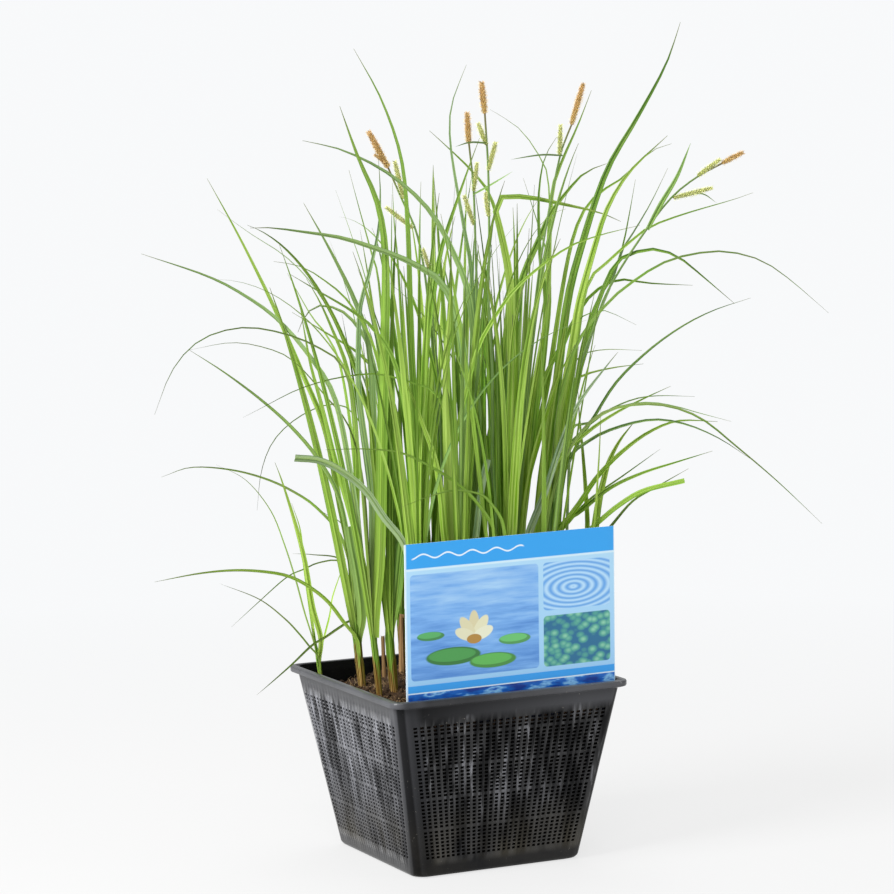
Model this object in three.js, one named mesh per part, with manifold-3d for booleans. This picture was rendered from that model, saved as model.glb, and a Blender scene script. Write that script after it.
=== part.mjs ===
// A pond sedge in its square mesh basket: leafy shoots and flowering stems that grow out of peat,
// with a plain printed card pushed in behind the front wall.
// Millimetres, +Z up. X runs along the front wall, and the origin is the centre of the basket's base.

import * as THREE from 'three';
import { mergeVertices } from 'three/addons/utils/BufferGeometryUtils.js';
import Module from 'manifold-3d';

const wasm = await Module();
wasm.setup();

// ---- Driving dimensions ----

// Touching pieces keep this gap.
const GAP = 0.3;

// Basket: a tapered square tub with a rim that turns out over its wall.
const BASKET_HEIGHT = 136.5;
const RIM_HALF = 96.6;
const RIM_DEPTH = 5;
const WALL_HALF_TOP = 92.9;
const WALL_HALF_BASE = 68.6;
const BASE_CHAMFER = 3;
const WALL = 1.8;
const CORNER_RADIUS = 9;
const CORNER_STEPS = 3;

// Mesh panels: rows of upright slots between vertical bars on all four walls.
const SLOT_COLUMNS = 10;
const SLOT_ROWS = [24, 59, 94];
const SLOT_HEIGHT = 24;
const SLOT_SHARE = 0.46;
const PANEL_MARGIN = 10.5;

// Peat: low along the front walls, heaped up to the rim behind the middle.
const SOIL_EDGE = 115;
const SOIL_HEAP = 21;
const HEAP_CENTRE = [0, 42];
const HEAP_SPREAD = 58;
const CRUMB = 0.9;
const CRUMB_WAVES = [[0.31, 0.17, 0], [-0.11, 0.37, 2]];
const ROOT_DEPTH = 15;
const HOLE_TOP = 9;
const SOIL_SLACK = 0.1;
const SOIL_RINGS = [1, 0.84, 0.62, 0.4, 0.18];

// Card: upright, parallel to the front wall, with a narrower foot that is tucked into the peat.
const CARD = { left: -81.6, right: 90, top: 248.6, rise: 1.8, thickness: 0.8, front: -84.5 };
const CARD_FOOT = { left: -74, right: 79, shoulder: 134.5, bottom: 108 };

// Leaves are drawn on an upright plane through the origin that faces the front left corner.
// s runs to the right on it and z up. Each leaf is then moved away from an eye in front of the plane,
// by its depth d, so that its outline keeps its place as seen from there.
const PLANE_TURN = THREE.MathUtils.degToRad(-26.31);
const EYE = { s: -4.2, distance: 2391, z: 560 };

// Blade: flat above, with a keel below that thins towards the tip. It swells from its root to its full
// width and tapers to its tip. It has one more station for each step of bend, in degrees.
const KEEL = 0.95;
const KEEL_THINNING = 0.35;
const SWELL = { root: 0.72, end: 0.35 };
const TAPER = { power: 2.2, round: 0.85 };
const BLADE_GUARD = 0.45;
const BLADE_STEPS = { least: 4, most: 9, bend: 22 };
const PATH_SAMPLES = 12;

// Sheaths: half sizes across and along the shoot's fan at the belly. They are slim at the root and at the
// top, and the girths are shares of those half sizes.
const SHEATH_RADIUS = { across: 4.1, along: 3.5 };
const SHEATH_SIDES = 6;
const SHEATH_BELLY = 0.55;
const SHEATH_TOP = 1.1;
const SHEATH_GIRTHS = [0.62, 1, 0.3];

// A drawn leaf leaves its sheath at one of four shares of its height, well below its first drawn point,
// a little off the sheath's axis. Its depth grows with this power of the way along it.
const LEAVING = { first: 0.5, step: 0.1, count: 4, below: 22, least: 8, off: 0.45 };
const DEPTH_POWER = 1.3;

// Filling leaves: some arch over, and the rest stand up. Pairs are ranges of the draws. Lean is from the
// shoot's axis, in degrees. spread is how far they lean across the drawing plane, against in and out of it.
const ARCHING_SHARE = 0.4;
const ARCHING = { spread: 0.12, length: [270, 400], tipLean: [45, 90] };
const UPRIGHT = { spread: 0.3, length: [190, 340], tipLean: [6, 26] };
const FILLER = {
  leaving: [0.45, 0.85], rootLean: [2, 7], bend: [1.3, 2.5], width: [4, 8], turn: 35, twist: 40,
};
const OUTWARD_PER_MM = 0.006;
const FILLER_PIECES = 40;

// Shoots: foot [x, y] on the peat and sheath height. The shoots lean away from the middle of the tuft.
const LEAN_PER_MM = { x: 0.0016, y: 0.0007 };
const SHOOTS = [
  { foot: [-76, 76], sheath: 42, girth: 0.45, fillers: 0 },
  { foot: [-56, 47], sheath: 78, girth: 0.85, fillers: 1 },
  { foot: [-57, 14], sheath: 74, girth: 0.65, fillers: 1 },
  { foot: [-45, 14], sheath: 70, girth: 0.9, fillers: 3 },
  { foot: [-52, -52], sheath: 84, girth: 1, fillers: 7 },
  { foot: [-35, -22], sheath: 80, girth: 1, fillers: 8 },
  { foot: [-18, 9], sheath: 82, girth: 1, fillers: 8 },
  { foot: [18, 69], sheath: 76, girth: 1, fillers: 9 },
  { foot: [-20, -51], sheath: 82, girth: 1, fillers: 6 },
  { foot: [-2, -21], sheath: 80, girth: 1.1, fillers: 8 },
  { foot: [13, 14], sheath: 84, girth: 1, fillers: 8 },
  { foot: [29, 41], sheath: 78, girth: 1, fillers: 8 },
  { foot: [3, -64], sheath: 84, girth: 1, fillers: 7 },
  { foot: [18, -44], sheath: 80, girth: 1, fillers: 8 },
  { foot: [35, -15], sheath: 78, girth: 1.1, fillers: 8 },
  { foot: [47, 15], sheath: 80, girth: 1, fillers: 8 },
  { foot: [60, 46], sheath: 72, girth: 1, fillers: 5 },
  { foot: [36, -64], sheath: 84, girth: 1, fillers: 5 },
  { foot: [53, -42], sheath: 80, girth: 1, fillers: 0 },
  { foot: [70, -12], sheath: 78, girth: 1.1, fillers: 0 },
  { foot: [68, -54], sheath: 80, girth: 1, fillers: 0 },
  { foot: [-10, 70], sheath: 76, girth: 0.9, fillers: 7 },
];

// Drawn leaves: width and, at the tip, depth, in mm; turn of the blade about its own midrib in degrees;
// path from low to high as [s, z]. A blunt leaf ends in a cut edge.
const LEAVES = [
  { shoot: 1, width: 5, turn: 70, depth: 30,
    path: [[-101, 163], [-107, 188], [-112, 222], [-119, 252], [-128, 283], [-133, 297]] },
  { shoot: 1, width: 3.5, turn: 50, depth: 55, path: [[-109, 189], [-113, 223], [-115, 246], [-121, 266]] },
  { shoot: 1, width: 3, turn: 30, depth: 70,
    path: [[-113, 184], [-119, 208], [-127, 235], [-137, 261], [-155, 284], [-177, 296]] },
  { shoot: 1, width: 3.5, turn: 30, depth: 0,
    path: [[-103, 149], [-110, 158], [-117, 167], [-128, 179], [-147, 194], [-176, 206]] },
  { shoot: 1, width: 3, turn: 30, depth: 60, path: [[-98, 166], [-94, 181], [-91, 197], [-81, 224]] },
  { shoot: 2, width: 5.2, turn: 70, depth: -10,
    path: [[-78, 223], [-85, 264], [-95, 321], [-111, 363], [-131, 412], [-149, 451], [-162, 477],
      [-179, 509]] },
  { shoot: 2, width: 4.5, turn: 60, depth: -40,
    path: [[-77, 219], [-85, 268], [-100, 298], [-118, 321], [-140, 342], [-168, 364], [-195, 382]] },
  { shoot: 2, width: 5, turn: 35, depth: 20,
    path: [[-75, 200], [-84, 239], [-102, 262], [-120, 275], [-141, 285], [-167, 292], [-196, 294],
      [-218, 287]] },
  { shoot: 2, width: 5, turn: 45, depth: -20,
    path: [[-74, 162], [-84, 176], [-95, 191], [-108, 202], [-122, 210], [-138, 214], [-163, 216],
      [-191, 214], [-225, 208]] },
  { shoot: 2, width: 4.5, turn: 35, depth: -30,
    path: [[-77, 176], [-86, 172], [-98, 164], [-108, 158], [-123, 144], [-138, 131], [-150, 121]] },
  { shoot: 2, width: 4, turn: 30, depth: 60, path: [[-79, 204], [-85, 223], [-106, 227], [-121, 228]] },
  { shoot: 2, width: 3, turn: 30, depth: 80,
    path: [[-78, 200], [-85, 221], [-101, 221], [-113, 216], [-126, 210], [-148, 191], [-168, 173]] },
  { shoot: 2, width: 4, turn: 35, depth: 50, path: [[-79, 234], [-84, 250], [-93, 256], [-101, 261]] },
  { shoot: 2, width: 7.5, turn: 80, depth: -5, blunt: true,
    path: [[-70, 180], [-73, 210], [-77, 234], [-79, 248]] },
  { shoot: 2, width: 6, turn: 70, depth: 20,
    path: [[-73, 253], [-72, 305], [-74, 343], [-79, 371], [-88, 395], [-97, 416], [-107, 434]] },
  { shoot: 3, width: 5.2, turn: 65, depth: 20,
    path: [[-69, 222], [-76, 283], [-87, 343], [-104, 374], [-128, 403], [-153, 422], [-181, 437],
      [-229, 454]] },
  { shoot: 3, width: 7, turn: 75, depth: -30,
    path: [[-61, 222], [-59, 320], [-61, 380], [-70, 414], [-88, 453], [-108, 490]] },
  { shoot: 3, width: 4.5, turn: 30, depth: 0,
    path: [[-65, 222], [-71, 313], [-79, 364], [-98, 382], [-127, 394], [-157, 398], [-187, 389],
      [-208, 367], [-222, 334]] },
  { shoot: 3, width: 3, turn: 30, depth: 40,
    path: [[-61, 237], [-65, 313], [-76, 335], [-91, 340], [-114, 331], [-133, 314], [-143, 291],
      [-147, 261]] },
  { shoot: 3, width: 5.5, turn: 65, depth: 40,
    path: [[-66, 207], [-76, 253], [-88, 298], [-98, 342], [-105, 370], [-109, 394], [-112, 413]] },
  { shoot: 3, width: 4.2, turn: 50, depth: 70,
    path: [[-70, 238], [-75, 313], [-83, 369], [-93, 392], [-103, 405], [-112, 421], [-121, 438]] },
  { shoot: 3, width: 9.5, turn: 80, depth: -10,
    path: [[-56, 222], [-53, 305], [-50, 373], [-48, 447], [-53, 488], [-67, 523], [-80, 561]] },
  { shoot: 3, width: 6, turn: 65, depth: 60,
    path: [[-61, 268], [-69, 343], [-69, 388], [-67, 414], [-60, 438], [-53, 468], [-51, 495],
      [-52, 522]] },
  { shoot: 3, width: 3.5, turn: 30, depth: 30,
    path: [[-66, 268], [-76, 320], [-95, 347], [-118, 373], [-139, 383], [-164, 387], [-195, 382]] },
  { shoot: 4, width: 4.5, turn: 55, depth: -20,
    path: [[-46, 252], [-48, 320], [-57, 380], [-75, 415], [-93, 432], [-111, 443], [-131, 447]] },
  { shoot: 4, width: 6, turn: 75, depth: -50,
    path: [[-46, 237], [-50, 313], [-56, 358], [-62, 384], [-69, 397], [-79, 408], [-90, 413],
      [-101, 413], [-109, 405], [-114, 394]] },
  { shoot: 4, width: 4, turn: 50, depth: 40,
    path: [[-46, 267], [-48, 343], [-53, 428], [-59, 455], [-67, 486], [-74, 514]] },
  { shoot: 4, width: 4, turn: 30, depth: 90,
    path: [[-51, 268], [-61, 343], [-75, 380], [-90, 410], [-106, 434], [-124, 452], [-148, 468],
      [-172, 486]] },
  { shoot: 4, width: 5.5, turn: 60, depth: 0,
    path: [[-41, 222], [-39, 305], [-46, 346], [-66, 375], [-94, 394], [-118, 409]] },
  { shoot: 4, width: 3, turn: 35, depth: 60,
    path: [[-47, 283], [-50, 358], [-61, 425], [-73, 466], [-84, 499]] },
  { shoot: 4, width: 8, turn: 80, depth: -50, blunt: true,
    path: [[-44, 192], [-39, 233], [-34, 246], [-29, 257], [-23, 269]] },
  { shoot: 5, width: 5.5, turn: 75, depth: -95, blunt: true,
    path: [[-32, 211], [-38, 235], [-52, 254], [-66, 275], [-84, 290], [-100, 298], [-118, 300]] },
  { shoot: 6, width: 7, turn: 75, depth: -40,
    path: [[-22, 252], [-22, 327], [-18, 387], [-13, 420], [-7, 452], [1, 477], [9, 499], [16, 518],
      [23, 536]] },
  { shoot: 6, width: 6, turn: 60, depth: 30,
    path: [[-26, 222], [-32, 312], [-42, 369], [-57, 395], [-73, 409], [-99, 425], [-120, 438]] },
  { shoot: 7, width: 6, turn: 65, depth: 20,
    path: [[-21, 252], [-28, 342], [-30, 410], [-31, 469], [-35, 521], [-49, 565], [-69, 603]] },
  { shoot: 7, width: 4.5, turn: 50, depth: 40,
    path: [[-28, 282], [-35, 372], [-39, 447], [-41, 473], [-42, 504]] },
  { shoot: 9, width: 5, turn: 55, depth: -90,
    path: [[-2, 222], [-3, 267], [4, 319], [12, 353], [20, 381], [33, 404], [52, 428], [85, 453],
      [111, 463], [141, 470]] },
  { shoot: 9, width: 6.5, turn: 75, depth: -80,
    path: [[-3, 210], [-7, 240], [-9, 267], [-13, 296], [-21, 321], [-31, 348], [-40, 366]] },
  { shoot: 9, width: 4.5, turn: 30, depth: -20,
    path: [[3, 237], [-1, 304], [-10, 344], [-26, 354], [-54, 362], [-76, 361], [-97, 357], [-118, 350],
      [-140, 339], [-156, 331]] },
  { shoot: 9, width: 8, turn: 80, depth: -55,
    path: [[-2, 222], [-4, 312], [-4, 372], [-0, 417], [1, 450]] },
  { shoot: 9, width: 5, turn: 80, depth: -70, blunt: true,
    path: [[12, 206], [16, 236], [18, 251], [21, 274], [26, 297]] },
  { shoot: 10, width: 8, turn: 70, depth: -60,
    path: [[11, 282], [10, 364], [3, 409], [-8, 431], [-22, 441], [-40, 450], [-59, 457], [-81, 464],
      [-111, 469], [-133, 472], [-148, 472]] },
  { shoot: 10, width: 7, turn: 65, depth: -10,
    path: [[16, 251], [19, 342], [14, 416], [4, 448], [-14, 482], [-42, 509], [-77, 528], [-108, 536]] },
  { shoot: 10, width: 7, turn: 80, depth: 0,
    path: [[21, 226], [22, 285], [23, 345], [25, 405], [31, 457]] },
  { shoot: 11, width: 6, turn: 50, depth: 20,
    path: [[12, 252], [17, 342], [16, 431], [11, 468], [4, 511], [1, 539], [3, 562], [14, 590]] },
  { shoot: 12, width: 7, turn: 60, depth: 30,
    path: [[20, 267], [36, 356], [42, 401], [44, 431], [39, 464], [29, 496], [16, 513], [1, 528],
      [-14, 542]] },
  { shoot: 13, width: 4.5, turn: 45, depth: -100,
    path: [[32, 221], [31, 242], [21, 260], [7, 276], [-13, 290], [-36, 302], [-62, 306], [-95, 306]] },
  { shoot: 13, width: 4, turn: 45, depth: -110,
    path: [[39, 221], [37, 247], [33, 257], [27, 265], [20, 271], [1, 274], [-17, 270], [-39, 262]] },
  { shoot: 13, width: 8, turn: 80, depth: -50,
    path: [[43, 236], [46, 281], [51, 341], [59, 393], [70, 434], [82, 461]] },
  { shoot: 14, width: 6.5, turn: 70, depth: -70,
    path: [[51, 221], [57, 243], [69, 273], [82, 311], [95, 339], [114, 364], [124, 376]] },
  { shoot: 14, width: 5, turn: 70, depth: -60,
    path: [[48, 213], [53, 259], [58, 289], [65, 315], [74, 341], [82, 363], [92, 382]] },
  { shoot: 14, width: 8, turn: 80, depth: -20,
    path: [[35, 226], [31, 286], [29, 345], [26, 397], [20, 434]] },
  { shoot: 14, width: 8, turn: 80, depth: -30,
    path: [[40, 226], [41, 286], [43, 338], [46, 390], [54, 427]] },
  { shoot: 15, width: 9, turn: 75, depth: -20,
    path: [[35, 251], [44, 341], [45, 394], [44, 431], [39, 461], [34, 484], [37, 491], [45, 493],
      [64, 491], [82, 487], [111, 480], [127, 473]] },
  { shoot: 15, width: 5, turn: 45, depth: -40,
    path: [[57, 221], [83, 249], [95, 257], [117, 274], [141, 285], [167, 293], [194, 301]] },
  { shoot: 15, width: 6, turn: 60, depth: 30,
    path: [[54, 266], [70, 401], [67, 445], [66, 479], [67, 501], [71, 521], [80, 536]] },
  { shoot: 15, width: 4, turn: 40, depth: 60,
    path: [[57, 281], [70, 386], [74, 467], [73, 507], [66, 524], [52, 543], [31, 557]] },
  { shoot: 15, width: 8, turn: 80, depth: -10,
    path: [[49, 227], [53, 286], [58, 331], [66, 375], [73, 420]] },
  { shoot: 16, width: 8, turn: 80, depth: 10,
    path: [[59, 227], [67, 286], [73, 331], [80, 368], [88, 413]] },
  { shoot: 16, width: 9, turn: 75, depth: 0,
    path: [[41, 251], [43, 356], [48, 408], [55, 436], [65, 458], [74, 478], [85, 493], [100, 509],
      [117, 516]] },
  { shoot: 16, width: 6, turn: 50, depth: 20,
    path: [[50, 281], [66, 348], [82, 382], [98, 411], [111, 424], [126, 430], [148, 427], [180, 425]] },
  { shoot: 16, width: 7, turn: 65, depth: 50,
    path: [[50, 266], [66, 356], [72, 416], [74, 467], [77, 499], [85, 521], [96, 545], [106, 570]] },
  { shoot: 16, width: 4, turn: 30, depth: 70,
    path: [[57, 281], [81, 371], [92, 397], [100, 404], [109, 407], [118, 406], [138, 396]] },
  { shoot: 17, width: 6, turn: 50, depth: 80,
    path: [[50, 266], [69, 341], [83, 423], [91, 460], [100, 482], [112, 495], [128, 505], [149, 524],
      [165, 530]] },
  { shoot: 17, width: 4.5, turn: 45, depth: 60,
    path: [[50, 281], [72, 393], [73, 444], [69, 460], [60, 490], [55, 506]] },
  { shoot: 17, width: 3.5, turn: 35, depth: 90,
    path: [[57, 281], [81, 352], [96, 373], [114, 378], [142, 377]] },
  { shoot: 18, width: 5, turn: 60, depth: -60,
    path: [[70, 221], [80, 243], [95, 264], [108, 283], [126, 301], [147, 316], [169, 324],
      [198, 323]] },
  { shoot: 18, width: 4.5, turn: 30, depth: -30,
    path: [[68, 236], [80, 288], [99, 320], [118, 333], [143, 337], [166, 334], [188, 324], [211, 305],
      [242, 278], [276, 245]] },
  { shoot: 21, width: 3.8, turn: 65, depth: -60, blunt: true,
    path: [[79, 213], [94, 235], [110, 250], [125, 262], [143, 272], [173, 279]] },
  { shoot: 18, width: 5, turn: 60, depth: 0,
    path: [[68, 251], [76, 292], [99, 315], [121, 330], [143, 341], [163, 350]] },
  { shoot: 19, width: 4.5, turn: 35, depth: -20,
    path: [[76, 307], [86, 361], [98, 390], [120, 416], [138, 430], [156, 441], [174, 447], [201, 450],
      [228, 444], [250, 430], [281, 403]] },
  { shoot: 19, width: 4.2, turn: 40, depth: 20,
    path: [[71, 251], [91, 303], [106, 328], [123, 354], [147, 377], [171, 394], [195, 406],
      [223, 415]] },
  { shoot: 19, width: 4.2, turn: 45, depth: -50,
    path: [[72, 236], [84, 292], [99, 308], [118, 318], [147, 325], [172, 322], [198, 311],
      [222, 295]] },
  { shoot: 19, width: 3.5, turn: 50, depth: -20,
    path: [[90, 213], [109, 235], [119, 247], [134, 264], [151, 274], [176, 288]] },
  { shoot: 20, width: 8, turn: 70, depth: 30,
    path: [[69, 266], [77, 341], [87, 415], [100, 463], [111, 496], [121, 519], [140, 550], [161, 588],
      [172, 619]] },
  { shoot: 20, width: 8, turn: 75, depth: -20,
    path: [[72, 251], [82, 333], [91, 386], [96, 415], [109, 460], [118, 485], [134, 510], [162, 536]] },
  { shoot: 20, width: 6, turn: 60, depth: -30,
    path: [[80, 281], [99, 378], [113, 422], [124, 443], [137, 450], [154, 452], [171, 445], [188, 431],
      [211, 411]] },
  { shoot: 20, width: 4.5, turn: 45, depth: 40,
    path: [[80, 296], [103, 385], [119, 426], [128, 452], [135, 463], [149, 486], [162, 512]] },
  { shoot: 20, width: 5, turn: 45, depth: 60,
    path: [[76, 281], [82, 345], [96, 358], [118, 364], [143, 367]] },
  { shoot: 21, width: 7, turn: 75, depth: -30,
    path: [[102, 220], [106, 246], [109, 265], [113, 282], [117, 295], [125, 310], [136, 324]] },
  { shoot: 21, width: 3, turn: 50, depth: -20,
    path: [[98, 213], [105, 245], [108, 280], [110, 310], [111, 336]] },
  { shoot: 21, width: 4.5, turn: 70, depth: -50,
    path: [[96, 213], [100, 243], [99, 273], [97, 303], [95, 326], [94, 348]] },
  { shoot: 20, width: 4.5, turn: 50, depth: 0,
    path: [[76, 271], [85, 325], [93, 379], [102, 427], [119, 445], [135, 459], [149, 469], [174, 478],
      [210, 488], [225, 493]] },
  { shoot: 20, width: 4.2, turn: 55, depth: 30,
    path: [[81, 276], [89, 325], [95, 368], [102, 397], [111, 418], [120, 432], [128, 454], [133, 477],
      [138, 504]] },
  { shoot: 19, width: 4, turn: 35, depth: -60,
    path: [[83, 303], [101, 323], [125, 335], [146, 338], [166, 335], [183, 330], [208, 323]] },
  { shoot: 20, width: 3.5, turn: 35, depth: 40,
    path: [[83, 292], [94, 314], [109, 327], [119, 334], [137, 341], [155, 343], [181, 342]] },
  { shoot: 19, width: 3.5, turn: 35, depth: 60,
    path: [[75, 238], [83, 245], [101, 265], [128, 284], [155, 303]] },
];

// A leaf is tried at these shifts in depth, and a filling leaf in as many draws, until it stays clear.
// Its cuts through the other leaves of its shoot are counted in faces: few are fine, many are too many.
const SHIFTS = [0, 8, -8, 16, -16, 24, -24, 34, -34, 46, -46, 60, -60, 75, -75];
const ATTEMPTS = 40;
const CROSSING_FINE = 3;
const CROSSING_LIMIT = 72;

// Flowering stems: foot [s, d] on the peat, radius there, depth at the top and path as [s, z].
const STEM_SIDES = 3;
const STEM_STEPS = 9;
const STEM_THINNING = { share: 0.45, power: 1.5 };
const STEMS = [
  { foot: [-6, 36], radius: 1.5, depth: 40,
    path: [[-11, 327], [-17, 417], [-24, 464], [-35, 491], [-45, 515]] },
  { foot: [22, -2], radius: 1.5, depth: -8, path: [[24, 327], [20, 416], [19, 447], [18, 497], [15, 532]] },
  { foot: [22, -44], radius: 1.5, depth: -52,
    path: [[30, 327], [28, 416], [29, 454], [29, 511], [27, 554]] },
  { foot: [51, 8], radius: 1.4, depth: 14, path: [[53, 326], [63, 416], [71, 468], [82, 521], [91, 545]] },
  { foot: [82, 4], radius: 1.4, depth: 10,
    path: [[89, 326], [108, 400], [125, 436], [158, 483], [180, 503], [202, 515]] },
  { foot: [-8, -16], radius: 1.2, depth: -20, path: [[-9, 327], [-13, 394], [-15, 424], [-16, 441]] },
];

// Thin leaves that grow from the flowering stems, with the stem's number.
const BRACTS = [
  { stem: 2, width: 3, turn: 30, depth: -30, path: [[18, 494], [30, 501], [47, 511]] },
  { stem: 3, width: 3, turn: 30, depth: -75, path: [[28, 532], [16, 533], [5, 530]] },
  { stem: 4, width: 3, turn: 30, depth: -10, path: [[82, 522], [68, 523], [46, 520]] },
  { stem: 5, width: 3, turn: 30, depth: 35, path: [[167, 491], [186, 493], [198, 486]] },
  { stem: 5, width: 4.2, turn: 70, depth: -15, path: [[147, 466], [157, 486], [169, 506], [179, 530]] },
];

// Flower spikes: brown male ones at the tips, yellow-green female ones below them.
const SPIKES = [
  { kind: 'male', stem: 1, from: [-45, 515], to: [-59, 542], radius: 3.1 },
  { kind: 'male', stem: 1, from: [-44, 517], to: [-55, 525], radius: 2 },
  { kind: 'female', stem: 1, from: [-34, 492], to: [-40, 520], radius: 2.6 },
  { kind: 'female', stem: 1, from: [-27, 470], to: [-47, 486], radius: 2.4 },
  { kind: 'male', stem: 2, from: [15, 532], to: [14, 555], radius: 2.9 },
  { kind: 'female', stem: 2, from: [18, 497], to: [21, 518], radius: 2.4 },
  { kind: 'female', stem: 2, from: [18, 472], to: [11, 494], radius: 2.4 },
  { kind: 'male', stem: 3, from: [27, 554], to: [25, 577], radius: 3 },
  { kind: 'female', stem: 3, from: [28, 531], to: [22, 547], radius: 2.5 },
  { kind: 'female', stem: 3, from: [29, 512], to: [35, 533], radius: 2.5 },
  { kind: 'female', stem: 3, from: [29, 478], to: [27, 496], radius: 2.5 },
  { kind: 'male', stem: 4, from: [91, 545], to: [100, 575], radius: 2.8 },
  { kind: 'female', stem: 4, from: [82, 522], to: [83, 545], radius: 2.4 },
  { kind: 'male', stem: 5, from: [202, 515], to: [218, 523], radius: 2.6 },
  { kind: 'female', stem: 5, from: [184, 506], to: [201, 518], radius: 2.5 },
  { kind: 'female', stem: 5, from: [166, 490], to: [195, 497], radius: 2.5 },
  { kind: 'female', stem: 6, from: [-16, 441], to: [-20, 455], radius: 2.2 },
];
const SPIKE_SIDES = 6;
const SPIKE_ROWS = 6;
const SCALE_RELIEF = 0.17;
const SPIKE_SHAPE = { least: 0.34, start: 0.14, length: 0.8, round: 0.6, foot: 0.45, tip: 0.5 };

// Dead stems that were cut off: foot [s, d], radius and the top [s, z].
const STUB_THINNING = 0.85;
const CUT_STEMS = [
  { foot: [-54.5, 26.5], radius: 1.7, top: [-54.5, 165] },
  { foot: [-41, 22], radius: 2.5, top: [-40, 181] },
];

const GREEN = [0x5f9a24, 0x6ba52c, 0x4f8a22, 0x7fb53a, 0x5a9430];
const COLOUR = {
  basket: 0x3d3f42, soil: 0x5a3a22, card: 0x5db4f0, stem: 0x7da23c, male: 0xb8843c, female: 0xb9bd55,
  dead: 0x8a6a3c,
};

// ---- Solids ----

const vec = (x, y, z) => new THREE.Vector3(x, y, z);
const between = ([low, high], share) => low + (high - low) * share;

/** A solid whose surface is a row of rings, each with as many points as the next, or a single point
 *  at either end. Rings run anticlockwise as seen from the far end of the row. */
function loft(rings) {
  const starts = [];
  const points = [];
  for (const ring of rings) {
    starts.push(points.length);
    points.push(...ring);
  }
  const sides = Math.max(...rings.map((ring) => ring.length));
  const faces = [];
  for (let j = 0; j + 1 < rings.length; j += 1) {
    for (let i = 0; i < sides; i += 1) {
      const k = (i + 1) % sides;
      const [low, high] = [starts[j], starts[j + 1]];
      if (rings[j].length === 1) faces.push([low, high + k, high + i]);
      else if (rings[j + 1].length === 1) faces.push([low + i, low + k, high]);
      else faces.push([low + i, low + k, high + k], [low + i, high + k, high + i]);
    }
  }
  const last = rings.length - 1;
  for (let i = 1; i + 1 < sides; i += 1) {
    if (rings[0].length > 1) faces.push([starts[0], starts[0] + i + 1, starts[0] + i]);
    if (rings[last].length > 1) faces.push([starts[last], starts[last] + i, starts[last] + i + 1]);
  }
  return closedSolid(points, faces);
}

function closedSolid(points, faces) {
  return new wasm.Manifold(new wasm.Mesh({
    numProp: 3,
    vertProperties: new Float32Array(points.flatMap((p) => [p.x, p.y, p.z])),
    triVerts: new Uint32Array(faces.flat()),
  }));
}

/** The solid of a three.js geometry, with its shared corners merged. */
function geometrySolid(geometry) {
  geometry.deleteAttribute('normal');
  geometry.deleteAttribute('uv');
  const merged = mergeVertices(geometry);
  return new wasm.Manifold(new wasm.Mesh({
    numProp: 3,
    vertProperties: new Float32Array(merged.attributes.position.array),
    triVerts: new Uint32Array(merged.index.array),
  }));
}

/** The largest body of a solid: loose scraps are dropped and sealed hollows are filled. */
function oneBody(solid) {
  return solid.decompose().reduce((best, body) => (body.volume() > best.volume() ? body : best));
}

const clear = (a, b) => a.intersect(b).isEmpty();

function touchesBox(a, b) {
  return [0, 1, 2].every((i) => a.min[i] < b.max[i] && b.min[i] < a.max[i]);
}

// ---- Placing ----

const ACROSS = vec(Math.cos(PLANE_TURN), Math.sin(PLANE_TURN), 0);
const AWAY = vec(-Math.sin(PLANE_TURN), Math.cos(PLANE_TURN), 0);
const UP = vec(0, 0, 1);

/** The point at [s, z] on the drawing plane, moved away from the eye to depth d. */
function place([s, z], d) {
  const spread = 1 + d / EYE.distance;
  const across = EYE.s + (s - EYE.s) * spread;
  const height = EYE.z + (z - EYE.z) * spread;
  return vec(0, 0, height).addScaledVector(ACROSS, across).addScaledVector(AWAY, d);
}

const footPoint = ([s, d], z) => vec(0, 0, z).addScaledVector(ACROSS, s).addScaledVector(AWAY, d);

/** Height of the peat at a point: a heap on a level bed, with low crumbs. */
function soilHeight(x, y) {
  const [heapX, heapY] = HEAP_CENTRE;
  const distance = ((x - heapX) ** 2 + (y - heapY) ** 2) / HEAP_SPREAD ** 2;
  const crumbs = CRUMB_WAVES.reduce((sum, [a, b, c]) => sum + Math.sin(a * x + b * y + c), 0);
  return SOIL_EDGE + SOIL_HEAP * Math.exp(-distance) + CRUMB * crumbs;
}

/** A smooth curve through the points that starts in the given direction. */
function smoothPath(points, direction) {
  const reach = points[0].distanceTo(points[1]);
  const before = points[0].clone().addScaledVector(direction, -reach);
  const n = points.length;
  const after = points[n - 1].clone().multiplyScalar(2).sub(points[n - 2]);
  const knots = [before, ...points, after];
  const path = [];
  for (let i = 1; i <= n - 1; i += 1) {
    const [p0, p1, p2, p3] = knots.slice(i - 1, i + 3);
    for (let j = 0; j < PATH_SAMPLES; j += 1) {
      const t = j / PATH_SAMPLES;
      const point = vec(0, 0, 0);
      point.addScaledVector(p0, -0.5 * t + t * t - 0.5 * t ** 3);
      point.addScaledVector(p1, 1 - 2.5 * t * t + 1.5 * t ** 3);
      point.addScaledVector(p2, 0.5 * t + 2 * t * t - 1.5 * t ** 3);
      point.addScaledVector(p3, -0.5 * t * t + 0.5 * t ** 3);
      path.push(point);
    }
  }
  path.push(points[n - 1].clone());
  return path;
}

/** Points at equal steps along a path, as many as steps + 1. */
function resample(path, steps) {
  const along = [0];
  for (let i = 1; i < path.length; i += 1) along.push(along[i - 1] + path[i].distanceTo(path[i - 1]));
  const total = along[along.length - 1];
  const points = [];
  let i = 1;
  for (let j = 0; j <= steps; j += 1) {
    const wanted = (total * j) / steps;
    while (i < path.length - 1 && along[i] < wanted) i += 1;
    const share = (wanted - along[i - 1]) / (along[i] - along[i - 1]);
    points.push(path[i - 1].clone().lerp(path[i], share));
  }
  return points;
}

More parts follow.
